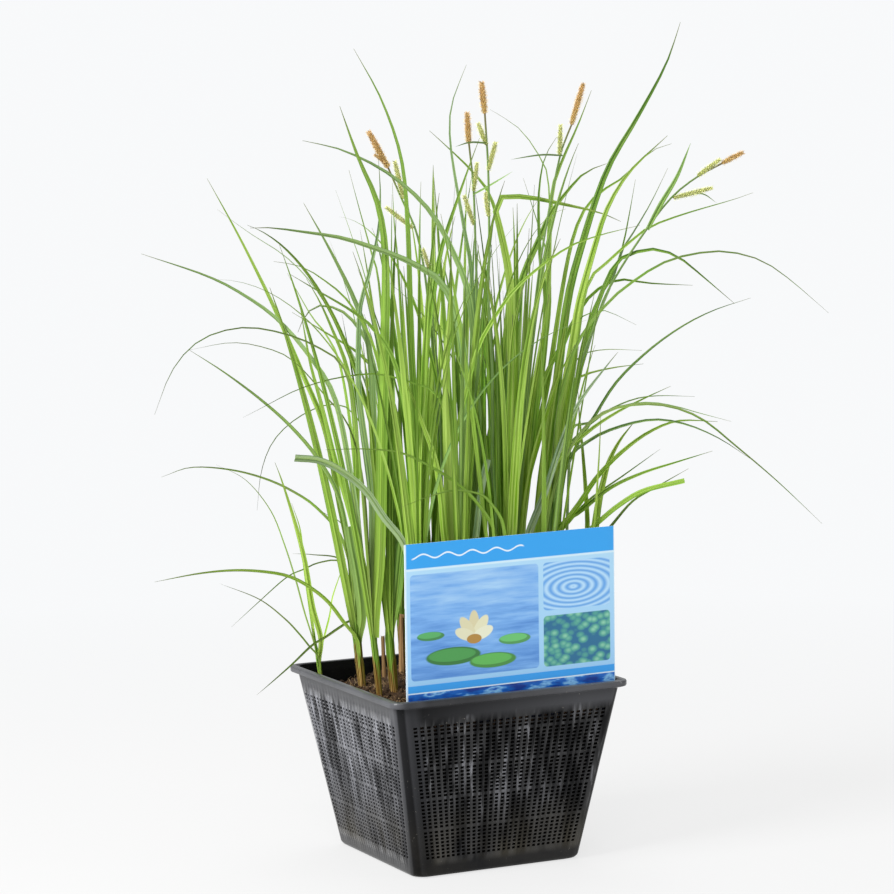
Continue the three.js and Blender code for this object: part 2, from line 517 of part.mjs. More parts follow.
/** The sum of a path's bends, in degrees. */
function pathBend(path) {
  const legs = path.slice(1).map((point, i) => point.clone().sub(path[i]));
  const bends = legs.slice(1).map((leg, i) => leg.angleTo(legs[i]));
  return THREE.MathUtils.radToDeg(bends.reduce((sum, bend) => sum + bend, 0));
}

// ---- Blades, sheaths and stems ----

/** Width of a blade as a share of its full width, u from 0 at its root to 1 at its tip. */
function bladeWidth(u, blunt) {
  const swell = between([SWELL.root, 1], Math.sin(Math.min(u / SWELL.end, 1) * Math.PI / 2));
  return blunt ? swell : swell * (1 - u ** TAPER.power) ** TAPER.round;
}

/** A keeled blade along a path. hinge is the way its flat side lies before the turns, in degrees at
 *  root and tip; spare makes it larger all round. */
function blade({ path, width, turns, hinge, blunt }, spare = 0) {
  const wanted = Math.round(BLADE_STEPS.least - 1 + pathBend(path) / BLADE_STEPS.bend);
  const steps = THREE.MathUtils.clamp(wanted, BLADE_STEPS.least, BLADE_STEPS.most);
  const points = resample(path, steps);
  const rings = [];
  for (let j = 0; j <= steps; j += 1) {
    const u = j / steps;
    const tangent = points[Math.min(j + 1, steps)].clone().sub(points[Math.max(j - 1, 0)]).normalize();
    const flat = hinge.clone().addScaledVector(tangent, -hinge.dot(tangent)).normalize();
    const turn = THREE.MathUtils.degToRad(between(turns, u));
    const side = flat.clone().applyAxisAngle(tangent, turn);
    const upper = tangent.clone().cross(side);
    const half = (width * bladeWidth(u, blunt)) / 2 + spare;
    const keel = KEEL * (1 - KEEL_THINNING * u) + spare;
    const centre = points[j].clone().addScaledVector(upper, spare);
    rings.push(j === steps && !blunt ? [centre.addScaledVector(tangent, spare)] : [
      centre.clone().addScaledVector(side, -half),
      centre.clone().addScaledVector(upper, -keel - spare),
      centre.clone().addScaledVector(side, half),
    ]);
  }
  return loft(rings);
}

/** A round or angled stem along its points, with a radius at each. */
function stem(points, radii, sides, squash = 1, spare = 0) {
  const rings = points.map((point, j) => {
    const next = points[Math.min(j + 1, points.length - 1)];
    const tangent = next.clone().sub(points[Math.max(j - 1, 0)]).normalize();
    const side = ACROSS.clone().addScaledVector(tangent, -ACROSS.dot(tangent)).normalize();
    const back = tangent.clone().cross(side);
    return Array.from({ length: sides }, (_, i) => {
      const angle = (2 * Math.PI * i) / sides;
      return point.clone()
        .addScaledVector(side, (radii[j] + spare) * Math.cos(angle))
        .addScaledVector(back, (radii[j] * squash + spare) * Math.sin(angle));
    });
  });
  return loft(rings);
}

/** The direction in which a shoot rises from its foot. */
const shootAxis = ([x, y]) => vec(LEAN_PER_MM.x * x, LEAN_PER_MM.y * y, 1).normalize();

function shootPoint(shoot, height) {
  const [x, y] = shoot.foot;
  return vec(x, y, soilHeight(x, y)).addScaledVector(shootAxis(shoot.foot), height);
}

const sheathHeights = (shoot) => [-ROOT_DEPTH, shoot.sheath * SHEATH_BELLY, shoot.sheath * SHEATH_TOP];

/** Girth of a sheath at a height above the peat, as a share of its girth at the belly. */
function sheathGirth(shoot, height) {
  const [root, belly, top] = sheathHeights(shoot);
  const [slim, full, narrow] = SHEATH_GIRTHS;
  if (height > belly) return between([full, narrow], (height - belly) / (top - belly));
  return between([slim, full], Math.max(0, (height - root) / (belly - root)));
}

/** The closed sheath at the foot of a shoot, from its root in the peat to the top that its leaves leave. */
function sheath(shoot, spare = 0, heights = sheathHeights(shoot)) {
  const points = heights.map((height) => shootPoint(shoot, height));
  const radii = heights.map((height) => sheathGirth(shoot, height) * shoot.girth * SHEATH_RADIUS.across);
  const squash = SHEATH_RADIUS.along / SHEATH_RADIUS.across;
  return stem(points, radii, SHEATH_SIDES, squash, spare);
}

/** A stream of draws between 0 and 1 from a seed. */
function draws(seed) {
  let state = (seed * 7919 + 12345) % 4294967296;
  const next = () => {
    state = (state * 1664525 + 1013904223) % 4294967296;
    return state / 4294967296;
  };
  next();
  next();
  return next;
}

/** The way a drawn leaf's flat side lies before its turn: square to the drawing plane, upper side up. */
function planeHinge(path) {
  const lean = path[path.length - 1].clone().sub(path[0]).dot(ACROSS);
  return AWAY.clone().multiplyScalar(lean < 0 ? -1 : 1);
}

/** A drawn leaf. Its depth grows from that of its shoot to its own at the tip, plus a shift. */
function drawnLeaf(leaf, index, shift) {
  const shoot = SHOOTS[leaf.shoot - 1];
  const rise = leaf.path[0][1] - shootPoint(shoot, 0).z;
  const share = LEAVING.first + LEAVING.step * (index % LEAVING.count);
  const height = Math.min(shoot.sheath * share, Math.max(LEAVING.least, rise - LEAVING.below));
  const root = shootPoint(shoot, height);
  const rootDepth = root.dot(AWAY);
  const flat = [[root.dot(ACROSS), root.z], ...leaf.path];
  const along = [0];
  for (let i = 1; i < flat.length; i += 1) {
    along.push(along[i - 1] + Math.hypot(flat[i][0] - flat[i - 1][0], flat[i][1] - flat[i - 1][1]));
  }
  const total = along[along.length - 1];
  const points = leaf.path.map((point, i) => {
    const way = (along[i + 1] / total) ** DEPTH_POWER;
    return place(point, between([rootDepth, leaf.depth + shift], way));
  });
  const outward = points[0].clone().sub(root).setZ(0).normalize();
  const start = root.clone().addScaledVector(outward, LEAVING.off * SHEATH_RADIUS.along * shoot.girth);
  const path = smoothPath([start, ...points], shootAxis(shoot.foot));
  const hinge = planeHinge(path);
  return { path, width: leaf.width, turns: [leaf.turn, leaf.turn], hinge, blunt: leaf.blunt };
}

/** A leaf that fills the tuft. It leans mostly to the front or the back, and arches over as it rises. */
function fillerLeaf(shoot, number, index, attempt) {
  const next = draws(number * 1009 + index * 101 + attempt * 13);
  const habit = next() < ARCHING_SHARE ? ARCHING : UPRIGHT;
  const bearing = 2 * Math.PI * next();
  const root = shootPoint(shoot, shoot.sheath * between(FILLER.leaving, next()));
  const outS = habit.spread * Math.cos(bearing);
  const outD = Math.sin(bearing) + OUTWARD_PER_MM * root.dot(AWAY);
  const outward = vec(0, 0, 0).addScaledVector(ACROSS, outS).addScaledVector(AWAY, outD).normalize();
  const length = between(habit.length, next());
  const rootLean = THREE.MathUtils.degToRad(between(FILLER.rootLean, next()));
  const tipLean = THREE.MathUtils.degToRad(between(habit.tipLean, next()));
  const power = between(FILLER.bend, next());
  const start = root.clone().addScaledVector(outward, LEAVING.off * SHEATH_RADIUS.along * shoot.girth);
  const axis = shootAxis(shoot.foot);
  const path = [start];
  for (let i = 0; i < FILLER_PIECES; i += 1) {
    const lean = between([rootLean, tipLean], ((i + 0.5) / FILLER_PIECES) ** power);
    const direction = axis.clone().multiplyScalar(Math.cos(lean)).addScaledVector(outward, Math.sin(lean));
    path.push(path[i].clone().addScaledVector(direction.normalize(), length / FILLER_PIECES));
  }
  const width = between(FILLER.width, next());
  const turn = FILLER.turn * (2 * next() - 1);
  const turns = [turn, turn + FILLER.twist * (2 * next() - 1)];
  return { path, width, turns, hinge: UP.clone().cross(outward), blunt: false };
}

/** A flower spike whose scales stand out in alternate rows. */
function spike(from, to, radius, spare = 0) {
  const axis = to.clone().sub(from);
  const side = AWAY.clone().cross(axis).normalize();
  const back = axis.clone().normalize().cross(side);
  const rings = [];
  for (let j = 0; j <= SPIKE_ROWS; j += 1) {
    const u = j / SPIKE_ROWS;
    const swell = Math.sin(Math.PI * (SPIKE_SHAPE.start + SPIKE_SHAPE.length * u)) ** SPIKE_SHAPE.round;
    const body = radius * between([SPIKE_SHAPE.least, 1], swell);
    const middle = from.clone().addScaledVector(axis, u);
    const ring = [];
    for (let i = 0; i < SPIKE_SIDES; i += 1) {
      const angle = (2 * Math.PI * i) / SPIKE_SIDES;
      const scale = (i + j) % 2 === 0 ? 1 + SCALE_RELIEF : 1 - SCALE_RELIEF;
      const out = (j === 0 ? SPIKE_SHAPE.foot * radius : body * scale) + spare;
      ring.push(middle.clone().addScaledVector(side, out * Math.cos(angle))
        .addScaledVector(back, out * Math.sin(angle)));
    }
    rings.push(ring);
  }
  const tip = axis.clone().normalize().multiplyScalar(SPIKE_SHAPE.tip * radius + spare);
  return loft([...rings, [to.clone().add(tip)]]);
}

// ---- Basket, peat and card ----

const wallHalf = (z) => WALL_HALF_BASE + ((WALL_HALF_TOP - WALL_HALF_BASE) * z) / BASKET_HEIGHT;

/** A level square ring with round corners. */
function squareRing(half, z, radius = CORNER_RADIUS, steps = CORNER_STEPS) {
  const ring = [];
  for (let corner = 0; corner < 4; corner += 1) {
    const middle = (corner + 0.5) * Math.PI / 2;
    const x = (half - radius) * Math.sign(Math.cos(middle));
    const y = (half - radius) * Math.sign(Math.sin(middle));
    for (let i = 0; i <= steps; i += 1) {
      const angle = (corner + i / steps) * Math.PI / 2;
      ring.push(vec(x + radius * Math.cos(angle), y + radius * Math.sin(angle), z));
    }
  }
  return ring;
}

/** The tub without its slots. */
function tub() {
  const underRim = BASKET_HEIGHT - RIM_DEPTH;
  return loft([
    [vec(0, 0, 0)],
    squareRing(WALL_HALF_BASE - BASE_CHAMFER, 0),
    squareRing(wallHalf(BASE_CHAMFER), BASE_CHAMFER),
    squareRing(wallHalf(underRim), underRim),
    squareRing(RIM_HALF, underRim),
    squareRing(RIM_HALF, BASKET_HEIGHT),
    squareRing(wallHalf(BASKET_HEIGHT) - WALL, BASKET_HEIGHT),
    squareRing(wallHalf(WALL) - WALL, WALL),
    [vec(0, 0, WALL)],
  ]);
}

/** One slot's cutter, leaning with the wall, on the wall that is turned to bearing. */
function slotCutter(column, z, bearing) {
  const half = wallHalf(z);
  const pitch = (2 * (half - PANEL_MARGIN)) / SLOT_COLUMNS;
  const cutter = new THREE.BoxGeometry(pitch * SLOT_SHARE, 4 * WALL, SLOT_HEIGHT);
  cutter.rotateX(Math.atan((WALL_HALF_TOP - WALL_HALF_BASE) / BASKET_HEIGHT));
  cutter.translate((column - (SLOT_COLUMNS - 1) / 2) * pitch, -half + WALL / 2, z);
  cutter.rotateZ(bearing);
  return geometrySolid(cutter);
}

function basket() {
  const cutters = [];
  for (let wall = 0; wall < 4; wall += 1) {
    for (const z of SLOT_ROWS) {
      for (let column = 0; column < SLOT_COLUMNS; column += 1) {
        cutters.push(slotCutter(column, z, (wall * Math.PI) / 2));
      }
    }
  }
  return tub().subtract(wasm.Manifold.union(cutters));
}

/** The peat as it was poured, before stems stand in it. */
function soilHeap() {
  const inside = (z) => wallHalf(z) - WALL - GAP - SOIL_SLACK;
  const floor = WALL + GAP;
  const steps = 3;
  const brim = inside(SOIL_EDGE - CRUMB_WAVES.length * CRUMB);
  const rings = [[vec(0, 0, floor)], squareRing(inside(floor), floor, CORNER_RADIUS, steps)];
  for (const share of SOIL_RINGS) {
    const ring = squareRing(brim * share, 0, CORNER_RADIUS * share, steps);
    rings.push(ring.map((p) => vec(p.x, p.y, soilHeight(p.x, p.y))));
  }
  rings.push([vec(0, 0, soilHeight(0, 0))]);
  return loft(rings);
}

function card(spare = 0) {
  const outline = new THREE.Shape();
  outline.moveTo(CARD_FOOT.left - spare, CARD_FOOT.bottom - spare);
  outline.lineTo(CARD_FOOT.right + spare, CARD_FOOT.bottom - spare);
  outline.lineTo(CARD.right + spare, CARD_FOOT.shoulder);
  outline.lineTo(CARD.right + spare, CARD.top + CARD.rise + spare);
  outline.lineTo(CARD.left - spare, CARD.top + spare);
  outline.lineTo(CARD.left - spare, CARD_FOOT.shoulder);
  const depth = CARD.thickness + 2 * spare;
  const sheet = new THREE.ExtrudeGeometry(outline, { depth, bevelEnabled: false });
  sheet.rotateX(Math.PI / 2);
  sheet.translate(0, CARD.front + CARD.thickness + spare, 0);
  return geometrySolid(sheet);
}

// ---- Assembly ----

const part = new THREE.Group();

function add(name, solid, color, roughness = 0.6) {
  const { vertProperties, triVerts } = solid.getMesh();
  const geometry = new THREE.BufferGeometry();
  geometry.setAttribute('position', new THREE.BufferAttribute(new Float32Array(vertProperties), 3));
  geometry.setIndex(new THREE.BufferAttribute(new Uint32Array(triVerts), 1));
  const material = new THREE.MeshStandardMaterial({ color, roughness, metalness: 0 });
  const mesh = new THREE.Mesh(geometry, material);
  mesh.name = name;
  part.add(mesh);
}

const twoDigits = (number) => String(number).padStart(2, '0');

// What stands before the leaves do, and holes that the peat needs.
const fixed = [tub(), card()];
const holes = [card(GAP)];

const stemNodes = STEMS.map(({ foot, radius, depth, path }) => {
  const [x, y] = [footPoint(foot, 0).x, footPoint(foot, 0).y];
  const ground = soilHeight(x, y);
  const points = [vec(x, y, ground), ...path.map((point, i) => {
    return place(point, between([foot[1], depth], (i + 1) / path.length));
  })];
  const root = vec(x, y, ground - ROOT_DEPTH);
  const line = [root, ...resample(smoothPath(points, UP), STEM_STEPS)];
  const radii = line.map((_, i) => {
    return radius * (1 - STEM_THINNING.share * (i / (line.length - 1)) ** STEM_THINNING.power);
  });
  return { line, body: (spare) => stem(line, radii, STEM_SIDES, 1, spare) };
});
const stemSolids = stemNodes.map((node) => node.body(0));
const stemGuards = stemNodes.map((node) => node.body(2 * GAP));

/** The point of a stem's own line that is nearest to a height. */
function stemPointAt(node, z) {
  const i = node.line.findIndex((point) => point.z > z);
  if (i < 1) return node.line[node.line.length - 1].clone();
  const [low, high] = [node.line[i - 1], node.line[i]];
  return low.clone().lerp(high, (z - low.z) / (high.z - low.z));
}

for (const { stem: number, width, turn, depth, path } of BRACTS) {
  const start = stemPointAt(stemNodes[number - 1], place(path[0], depth).z);
  const startDepth = start.dot(AWAY);
  const points = path.slice(1).map((point, i) => {
    return place(point, between([startDepth, depth], (i + 1) / (path.length - 1)));
  });
  const line = smoothPath([start, ...points], points[0].clone().sub(start).normalize());
  const leaf = { path: line, width, turns: [turn, turn], hinge: planeHinge(line), blunt: false };
  stemSolids[number - 1] = stemSolids[number - 1].add(blade(leaf));
  stemGuards[number - 1] = stemGuards[number - 1].add(blade(leaf, BLADE_GUARD));
}

const spikeNodes = [];
for (const { kind, stem: number, from, to, radius } of SPIKES) {
  const node = stemNodes[number - 1];
  const onStem = stemPointAt(node, place(from, 0).z);
  const depth = onStem.dot(AWAY);
  const axis = place(to, depth).sub(place(from, depth));
  const start = place(from, depth).addScaledVector(axis.clone().normalize(), 2 * GAP);
  let body = spike(start, place(to, depth), radius).subtract(stemGuards[number - 1]);
  for (const other of spikeNodes) body = body.subtract(other.guard);
  spikeNodes.push({ kind, body: oneBody(body), guard: spike(start, place(to, depth), radius, GAP) });
}

const stubs = CUT_STEMS.map(({ foot, radius, top }) => {
  const base = footPoint(foot, 0);
  const ground = soilHeight(base.x, base.y);
  const line = [base.clone().setZ(ground - ROOT_DEPTH), base.clone().setZ(ground), place(top, foot[1])];
  return (spare) => stem(line, [radius, radius, radius * STUB_THINNING], SHEATH_SIDES, 1, spare);
});

fixed.push(...stemGuards, ...spikeNodes.map((node) => node.guard), ...stubs.map((stub) => stub(GAP)));

const shoots = SHOOTS.map((shoot) => ({ body: sheath(shoot) }));

/** Adds a leaf to its shoot: of the tries that stay clear of all other pieces, the first that hardly
 *  cuts through the shoot's own leaves, or else the one that cuts through them least. */
function grow(number, tries) {
  const own = shoots[number - 1];
  const others = [...fixed, ...shoots.filter((other) => other !== own).map((other) => other.body)];
  let best = null;
  for (const leaf of tries) {
    const guard = blade(leaf, BLADE_GUARD);
    const box = guard.boundingBox();
    if (others.every((other) => !touchesBox(box, other.boundingBox()) || clear(guard, other))) {
      const single = blade(leaf);
      const joined = own.body.add(single);
      const cost = joined.numTri() - own.body.numTri() - single.numTri();
      if (!best || cost < best.cost) best = { joined, cost };
      if (cost < CROSSING_FINE) break;
    }
  }
  if (best && best.cost < CROSSING_LIMIT) own.body = best.joined;
}

LEAVES.forEach((leaf, index) => grow(leaf.shoot, SHIFTS.map((shift) => drawnLeaf(leaf, index, shift))));

SHOOTS.forEach((shoot, k) => {
  for (let index = 0; index < shoot.fillers; index += 1) {
    grow(k + 1, Array.from({ length: ATTEMPTS }, (_, attempt) => fillerLeaf(shoot, k + 1, index, attempt)));
  }
});

holes.push(...SHOOTS.map((shoot) => sheath(shoot, GAP, [-ROOT_DEPTH - GAP, HOLE_TOP])));
holes.push(...stubs.map((stub) => stub(GAP)), ...stemNodes.map((node) => node.body(GAP)));

add('basket', basket(), COLOUR.basket, 0.45);
add('soil', oneBody(soilHeap().subtract(wasm.Manifold.union(holes))), COLOUR.soil, 0.95);
add('card', card(), COLOUR.card, 0.4);
shoots.forEach(({ body }, i) => add(`shoot_${twoDigits(i + 1)}`, oneBody(body), GREEN[i % GREEN.length]));
stemSolids.forEach((solid, i) => add(`flower_stem_${i + 1}`, oneBody(solid), COLOUR.stem));
spikeNodes.forEach(({ kind, body }, i) => {
  add(`${kind}_spike_${twoDigits(i + 1)}`, body, COLOUR[kind], 0.8);
});
stubs.forEach((stub, i) => add(`cut_stem_${i + 1}`, stub(0), COLOUR.dead, 0.85));

export default part;
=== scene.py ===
# %% [markdown]
# # A pond sedge in its mesh basket
#
# The real thing is a clump of pond sedge, *Carex*, that stands in a square black mesh basket full of
# peat, as water plants are sold. The solids of the frame already hold every leaf in its place, but
# with few faces. This lesson dresses each solid with a finer surface of the same form, gives it a
# finish made of nodes, and sets up a camera, a floor and soft light.

# %% Load the frame
import json

import bpy
import numpy as np
from mathutils import Matrix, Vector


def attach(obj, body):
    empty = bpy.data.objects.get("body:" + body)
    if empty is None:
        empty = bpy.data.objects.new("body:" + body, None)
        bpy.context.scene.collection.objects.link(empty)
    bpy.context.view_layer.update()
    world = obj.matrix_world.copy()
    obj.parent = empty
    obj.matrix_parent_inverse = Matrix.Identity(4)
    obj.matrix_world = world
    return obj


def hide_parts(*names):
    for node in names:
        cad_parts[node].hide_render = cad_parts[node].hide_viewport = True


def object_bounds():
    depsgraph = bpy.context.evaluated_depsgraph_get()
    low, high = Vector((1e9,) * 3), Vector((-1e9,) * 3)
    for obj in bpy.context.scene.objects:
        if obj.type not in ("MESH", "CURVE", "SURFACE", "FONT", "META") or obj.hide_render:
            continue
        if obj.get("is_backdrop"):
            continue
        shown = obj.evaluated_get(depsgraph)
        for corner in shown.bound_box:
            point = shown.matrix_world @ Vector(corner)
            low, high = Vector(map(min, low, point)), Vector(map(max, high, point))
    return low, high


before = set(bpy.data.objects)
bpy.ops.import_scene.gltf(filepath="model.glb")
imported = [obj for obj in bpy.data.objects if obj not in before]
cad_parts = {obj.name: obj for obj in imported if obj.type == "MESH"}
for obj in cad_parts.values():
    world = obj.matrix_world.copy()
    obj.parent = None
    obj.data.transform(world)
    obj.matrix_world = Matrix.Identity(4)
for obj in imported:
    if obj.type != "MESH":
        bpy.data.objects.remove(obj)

cad_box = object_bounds()
print("CAD box", cad_box, "nodes", len(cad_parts))

# %% [markdown]
# ## Camera
#
# A plant of this size is looked at from about two and a half metres, a little above its middle, with
# a long lens. The camera's three axes and its place say that in numbers.

# %% Camera
def stand(thing, place, axes):
    """Stands a camera or a lamp at a place in metres, with its right, up and backward axes."""
    holder = bpy.data.objects.new(thing.name, thing)
    turn = Matrix(np.column_stack(axes).tolist()).to_4x4()
    holder.matrix_world = Matrix.Translation(list(place)) @ turn
    bpy.context.scene.collection.objects.link(holder)
    return holder


CAMERA_AT = np.array([-1.063713, -2.141663, 0.560214])
LOOKING = np.array([0.44078, 0.89141, -0.10541])
ROLL = np.radians(-0.7919)
SENSOR_WIDTH, LENS = 36, 129.66

level = np.cross(LOOKING, [0, 0, 1])
level /= np.linalg.norm(level)
right = np.cos(ROLL) * level + np.sin(ROLL) * np.cross(level, LOOKING)
lens = bpy.data.cameras.new("camera")
lens.sensor_width, lens.lens = SENSOR_WIDTH, LENS
bpy.context.scene.camera = stand(lens, CAMERA_AT, [right, np.cross(right, LOOKING), -LOOKING])
print("camera at", CAMERA_AT, "lens", LENS)

# %% [markdown]
# ## Two tools: a mesh from arrays, and a finish from expressions
#
# Every surface below is an array of points and a few arrays of faces. One function puts them into a
# mesh, with a UV map and with numbers on the points that the finish reads. Materials are sums and
# products of patterns, so a small class lets Python's own operators add the Math nodes.

# %% A mesh from arrays
def rings_to_faces(rows, columns):
    """Faces of a closed tube: ring j, point i goes to i + 1 and to ring j + 1, and an end face closes
    each end. Rings run anticlockwise as seen from the last one."""
    j, i = np.meshgrid(np.arange(rows - 1), np.arange(columns), indexing="ij")
    k = (i + 1) % columns
    quads = np.stack([j * columns + i, j * columns + k, (j + 1) * columns + k, (j + 1) * columns + i], -1)
    ends = np.stack([np.arange(columns)[::-1], (rows - 1) * columns + np.arange(columns)])
    return [quads.reshape(-1, 4), ends]


def make_piece(name, points, faces, uv=None, sharp=None, **numbers):
    """A piece from points in mm, arrays of faces with as many corners each, UV and per-point numbers."""
    mesh = bpy.data.meshes.new(name)
    corners = np.concatenate([face.ravel() for face in faces])
    sizes = np.concatenate([np.full(len(face), face.shape[1]) for face in faces])
    mesh.vertices.add(len(points))
    mesh.vertices.foreach_set("co", (np.asarray(points) / 1000).ravel())
    mesh.loops.add(len(corners))
    mesh.loops.foreach_set("vertex_index", corners)
    mesh.polygons.add(len(sizes))
    mesh.polygons.foreach_set("loop_start", np.cumsum(sizes) - sizes)
    mesh.update(calc_edges=True)
    if uv is not None:
        mesh.uv_layers.new(name="UVMap").data.foreach_set("uv", np.asarray(uv)[corners].ravel())
    for key, values in numbers.items():
        mesh.attributes.new(key, "FLOAT", "POINT").data.foreach_set("value", np.asarray(values, float))
    mesh.shade_smooth()
    if sharp:
        mesh.set_sharp_from_angle(angle=np.radians(sharp))
    piece = bpy.data.objects.new(name, mesh)
    bpy.context.scene.collection.objects.link(piece)
    return piece


def dress(piece, finish, slot, *nodes):
    """Gives a piece its finish, and puts it in the place of its CAD nodes. The slot is not used."""
    piece.data.materials.append(finish)
    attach(piece, "root")
    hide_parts(*nodes)


class Parts:
    """Collects the points, faces and numbers of a piece that has many parts."""

    def __init__(self):
        self.points, self.faces, self.uv, self.numbers, self.count = [], {}, [], {}, 0

    def add(self, points, faces, uv=None, **numbers):
        points = np.asarray(points, float).reshape(-1, 3)
        for face in faces:
            self.faces.setdefault(face.shape[1], []).append(face + self.count)
        self.points.append(points)
        self.uv.append(np.zeros((len(points), 2)) if uv is None else np.asarray(uv).reshape(-1, 2))
        for key, values in numbers.items():
            self.numbers.setdefault(key, []).append(np.broadcast_to(values, len(points)).astype(float))
        self.count += len(points)

    def piece(self, name, sharp=None):
        faces = [np.concatenate(group) for group in self.faces.values()]
        numbers = {key: np.concatenate(values) for key, values in self.numbers.items()}
        return make_piece(name, np.concatenate(self.points), faces, np.concatenate(self.uv), sharp, **numbers)


# %% Finishes from expressions
class Wire:
    """A socket that Python's operators add Math nodes to."""

    def __init__(self, tree, socket):
        self.tree, self.socket = tree, socket

    def math(self, operation, *others, clamp=False):
        node = self.tree.nodes.new("ShaderNodeMath")
        node.operation = operation
        node.use_clamp = clamp
        for socket, value in zip(node.inputs, (self, *others)):
            plug(self.tree, socket, value)
        return Wire(self.tree, node.outputs[0])

    __add__ = __radd__ = lambda self, other: self.math("ADD", other)
    __mul__ = __rmul__ = lambda self, other: self.math("MULTIPLY", other)
    __sub__ = lambda self, other: self.math("SUBTRACT", other)
    __rsub__ = lambda self, other: self * -1 + other
    __truediv__ = lambda self, other: self.math("DIVIDE", other)
    __pow__ = lambda self, power: self.math("POWER", power)
    sin = lambda self: self.math("SINE")
    abs = lambda self: self.math("ABSOLUTE")
    clamp = lambda self: self.math("ADD", 0, clamp=True)

    def above(self, edge, soft):
        """0 below edge - soft and 1 above edge + soft, with a straight ramp between."""
        return ((self - (edge - soft)) / (2 * soft)).clamp()

    def under(self, edge, soft):
        return 1 - self.above(edge, soft)


def plug(tree, socket, value):
    """Links a wire to a socket, or sets the socket's own value."""
    if isinstance(value, Wire):
        tree.links.new(value.socket, socket)
    elif isinstance(value, tuple) and len(value) == 3 and socket.type == "RGBA":
        socket.default_value = (*value, 1)
    else:
        socket.default_value = value


class Finish:
    """A material in the making, with one Principled shader. The world is made with it too."""

    def __init__(self, name, holders=bpy.data.materials):
        self.holder = holders.new(name)
        self.holder.use_nodes = True
        self.tree = self.holder.node_tree
        self.tree.nodes.clear()

    def node(self, kind, settings=None, sockets=None, out=0):
        """Adds a node: its settings first, then the values or links of its sockets."""
        node = self.tree.nodes.new("ShaderNode" + kind)
        for key, value in (settings or {}).items():
            if key == "stops":
                ramp = node.color_ramp
                while len(ramp.elements) < len(value):
                    ramp.elements.new(0.5)
                for element, (position, color) in zip(ramp.elements, value):
                    element.position = position
                    element.color = (*color, 1)
            else:
                setattr(node, key, value)
        for key, value in (sockets or {}).items():
            plug(self.tree, node.inputs[key], value)
        return Wire(self.tree, node.outputs[out])

    def number(self, name):
        """A number that the mesh carries on its points."""
        return self.node("Attribute", {"attribute_name": name}, out="Fac")

    def place(self):
        """The place on the object, as x, y and z in metres."""
        vector = self.node("TexCoord", out="Object")
        return vector, [self.node("SeparateXYZ", sockets={0: vector}, out=i) for i in range(3)]

    def map(self):
        """The two coordinates of the piece's UV map, in mm: round or across it, and along it."""
        vector = self.node("UVMap", {"uv_map": "UVMap"})
        return [self.node("SeparateXYZ", sockets={0: vector}, out=i) for i in range(2)]

    def vector(self, *numbers):
        """A vector from its two or three numbers."""
        return self.node("CombineXYZ", sockets=dict(enumerate(numbers)))

    def noise(self, vector, scale=1.0, detail=3, rough=0.5):
        """Cloudy noise round 0.5, at a vector or at a tuple of numbers."""
        vector = self.vector(*vector) if isinstance(vector, tuple) else vector
        sockets = {"Vector": vector, "Scale": scale, "Detail": detail, "Roughness": rough}
        return self.node("TexNoise", sockets=sockets)

    def mix(self, share, first, second, blend="MIX"):
        """A blend of two colours: share 0 gives the first, and share 1 the second."""
        settings = {"data_type": "RGBA", "blend_type": blend}
        return self.node("Mix", settings, {0: share, 6: first, 7: second}, out=2)

    def over(self, colour, *layers):
        """Lays tints over a colour, one after the other. Each layer is its share, its tint and, where it
        isn't painted plainly, its way of blending."""
        for share, tint, *blend in layers:
            colour = self.mix(share, colour, tint, *blend)
        return colour

    def ramp(self, share, *stops):
        return self.node("ValToRGB", {"stops": stops}, {0: share})

    def bump(self, height, depth, strength=1.0):
        return self.node("Bump", sockets={"Height": height, "Distance": depth, "Strength": strength})

    def done(self, through=None, **sockets):
        """Ends in a Principled shader. through is (share, colour) of light that shines through."""
        sockets = {key.replace("_", " "): value for key, value in sockets.items()}
        surface = self.node("BsdfPrincipled", sockets=sockets)
        if through:
            glow = self.node("BsdfTranslucent", sockets={"Color": through[1]})
            surface = self.node("MixShader", sockets={0: through[0], 1: surface, 2: glow})
        return self.end("OutputMaterial", surface)

    def end(self, kind, surface):
        plug(self.tree, self.tree.nodes.new("ShaderNode" + kind).inputs["Surface"], surface)
        return self.holder


print("tools ready")

# %% [markdown]
# ## Studio
#
# The studio is plain: a pale floor that runs into an even white surround without an edge. What the
# camera sees of the surround is brighter than the light it gives, so that large soft lamps do most of
# the work. They stand at the left and above, which gives each leaf a light side and a shaded side.

# %% Surround
SURROUND = (0.94, 0.95, 0.96)
FILL = 0.5

sky = Finish("studio", bpy.data.worlds)
seen = sky.node("LightPath", out="Is Camera Ray")
bpy.context.scene.world = sky.end("OutputWorld", sky.node("Background", sockets={
    "Color": SURROUND, "Strength": seen * (1 - FILL) + FILL}))
bpy.context.scene.view_settings.view_transform = "Standard"
print("surround", SURROUND, "gives light at", FILL)


# %% Lamps
def lamp(name, place, target, wide, tall, power):
    """A lamp, wide by tall in metres, at place, that faces target."""
    light = bpy.data.lights.new(name, "AREA")
    light.shape = "RECTANGLE"
    light.size, light.size_y = wide, tall
    light.energy = power
    back = np.array(place) - target
    back /= np.linalg.norm(back)
    across = np.cross([0, 0, 1], back)
    across /= np.linalg.norm(across)
    stand(light, place, [across, np.cross(back, across), back])


LAMPS = {
    "side lamp": [(-2.3, -0.5, 1.5), (0, 0, 0.3), 1.2, 1.6, 120],
    "front lamp": [(-1.2, -2.2, 2.4), (0, 0, 0.3), 1.2, 1.2, 40],
    "top lamp": [(0.4, 0.9, 2.6), (0, 0, 0.3), 1.6, 1.6, 45],
    "strip lamp": [(1.25, -1.35, 0.5), (0.05, -0.1, 0.07), 0.12, 1.3, 5],
}
for name, settings in LAMPS.items():
    lamp(name, *settings)
print("lamps", len(LAMPS))

# %% Floor
FLOOR_SIZE, FLOOR_Z, FLOOR_LINES = 6000, -0.5, 9

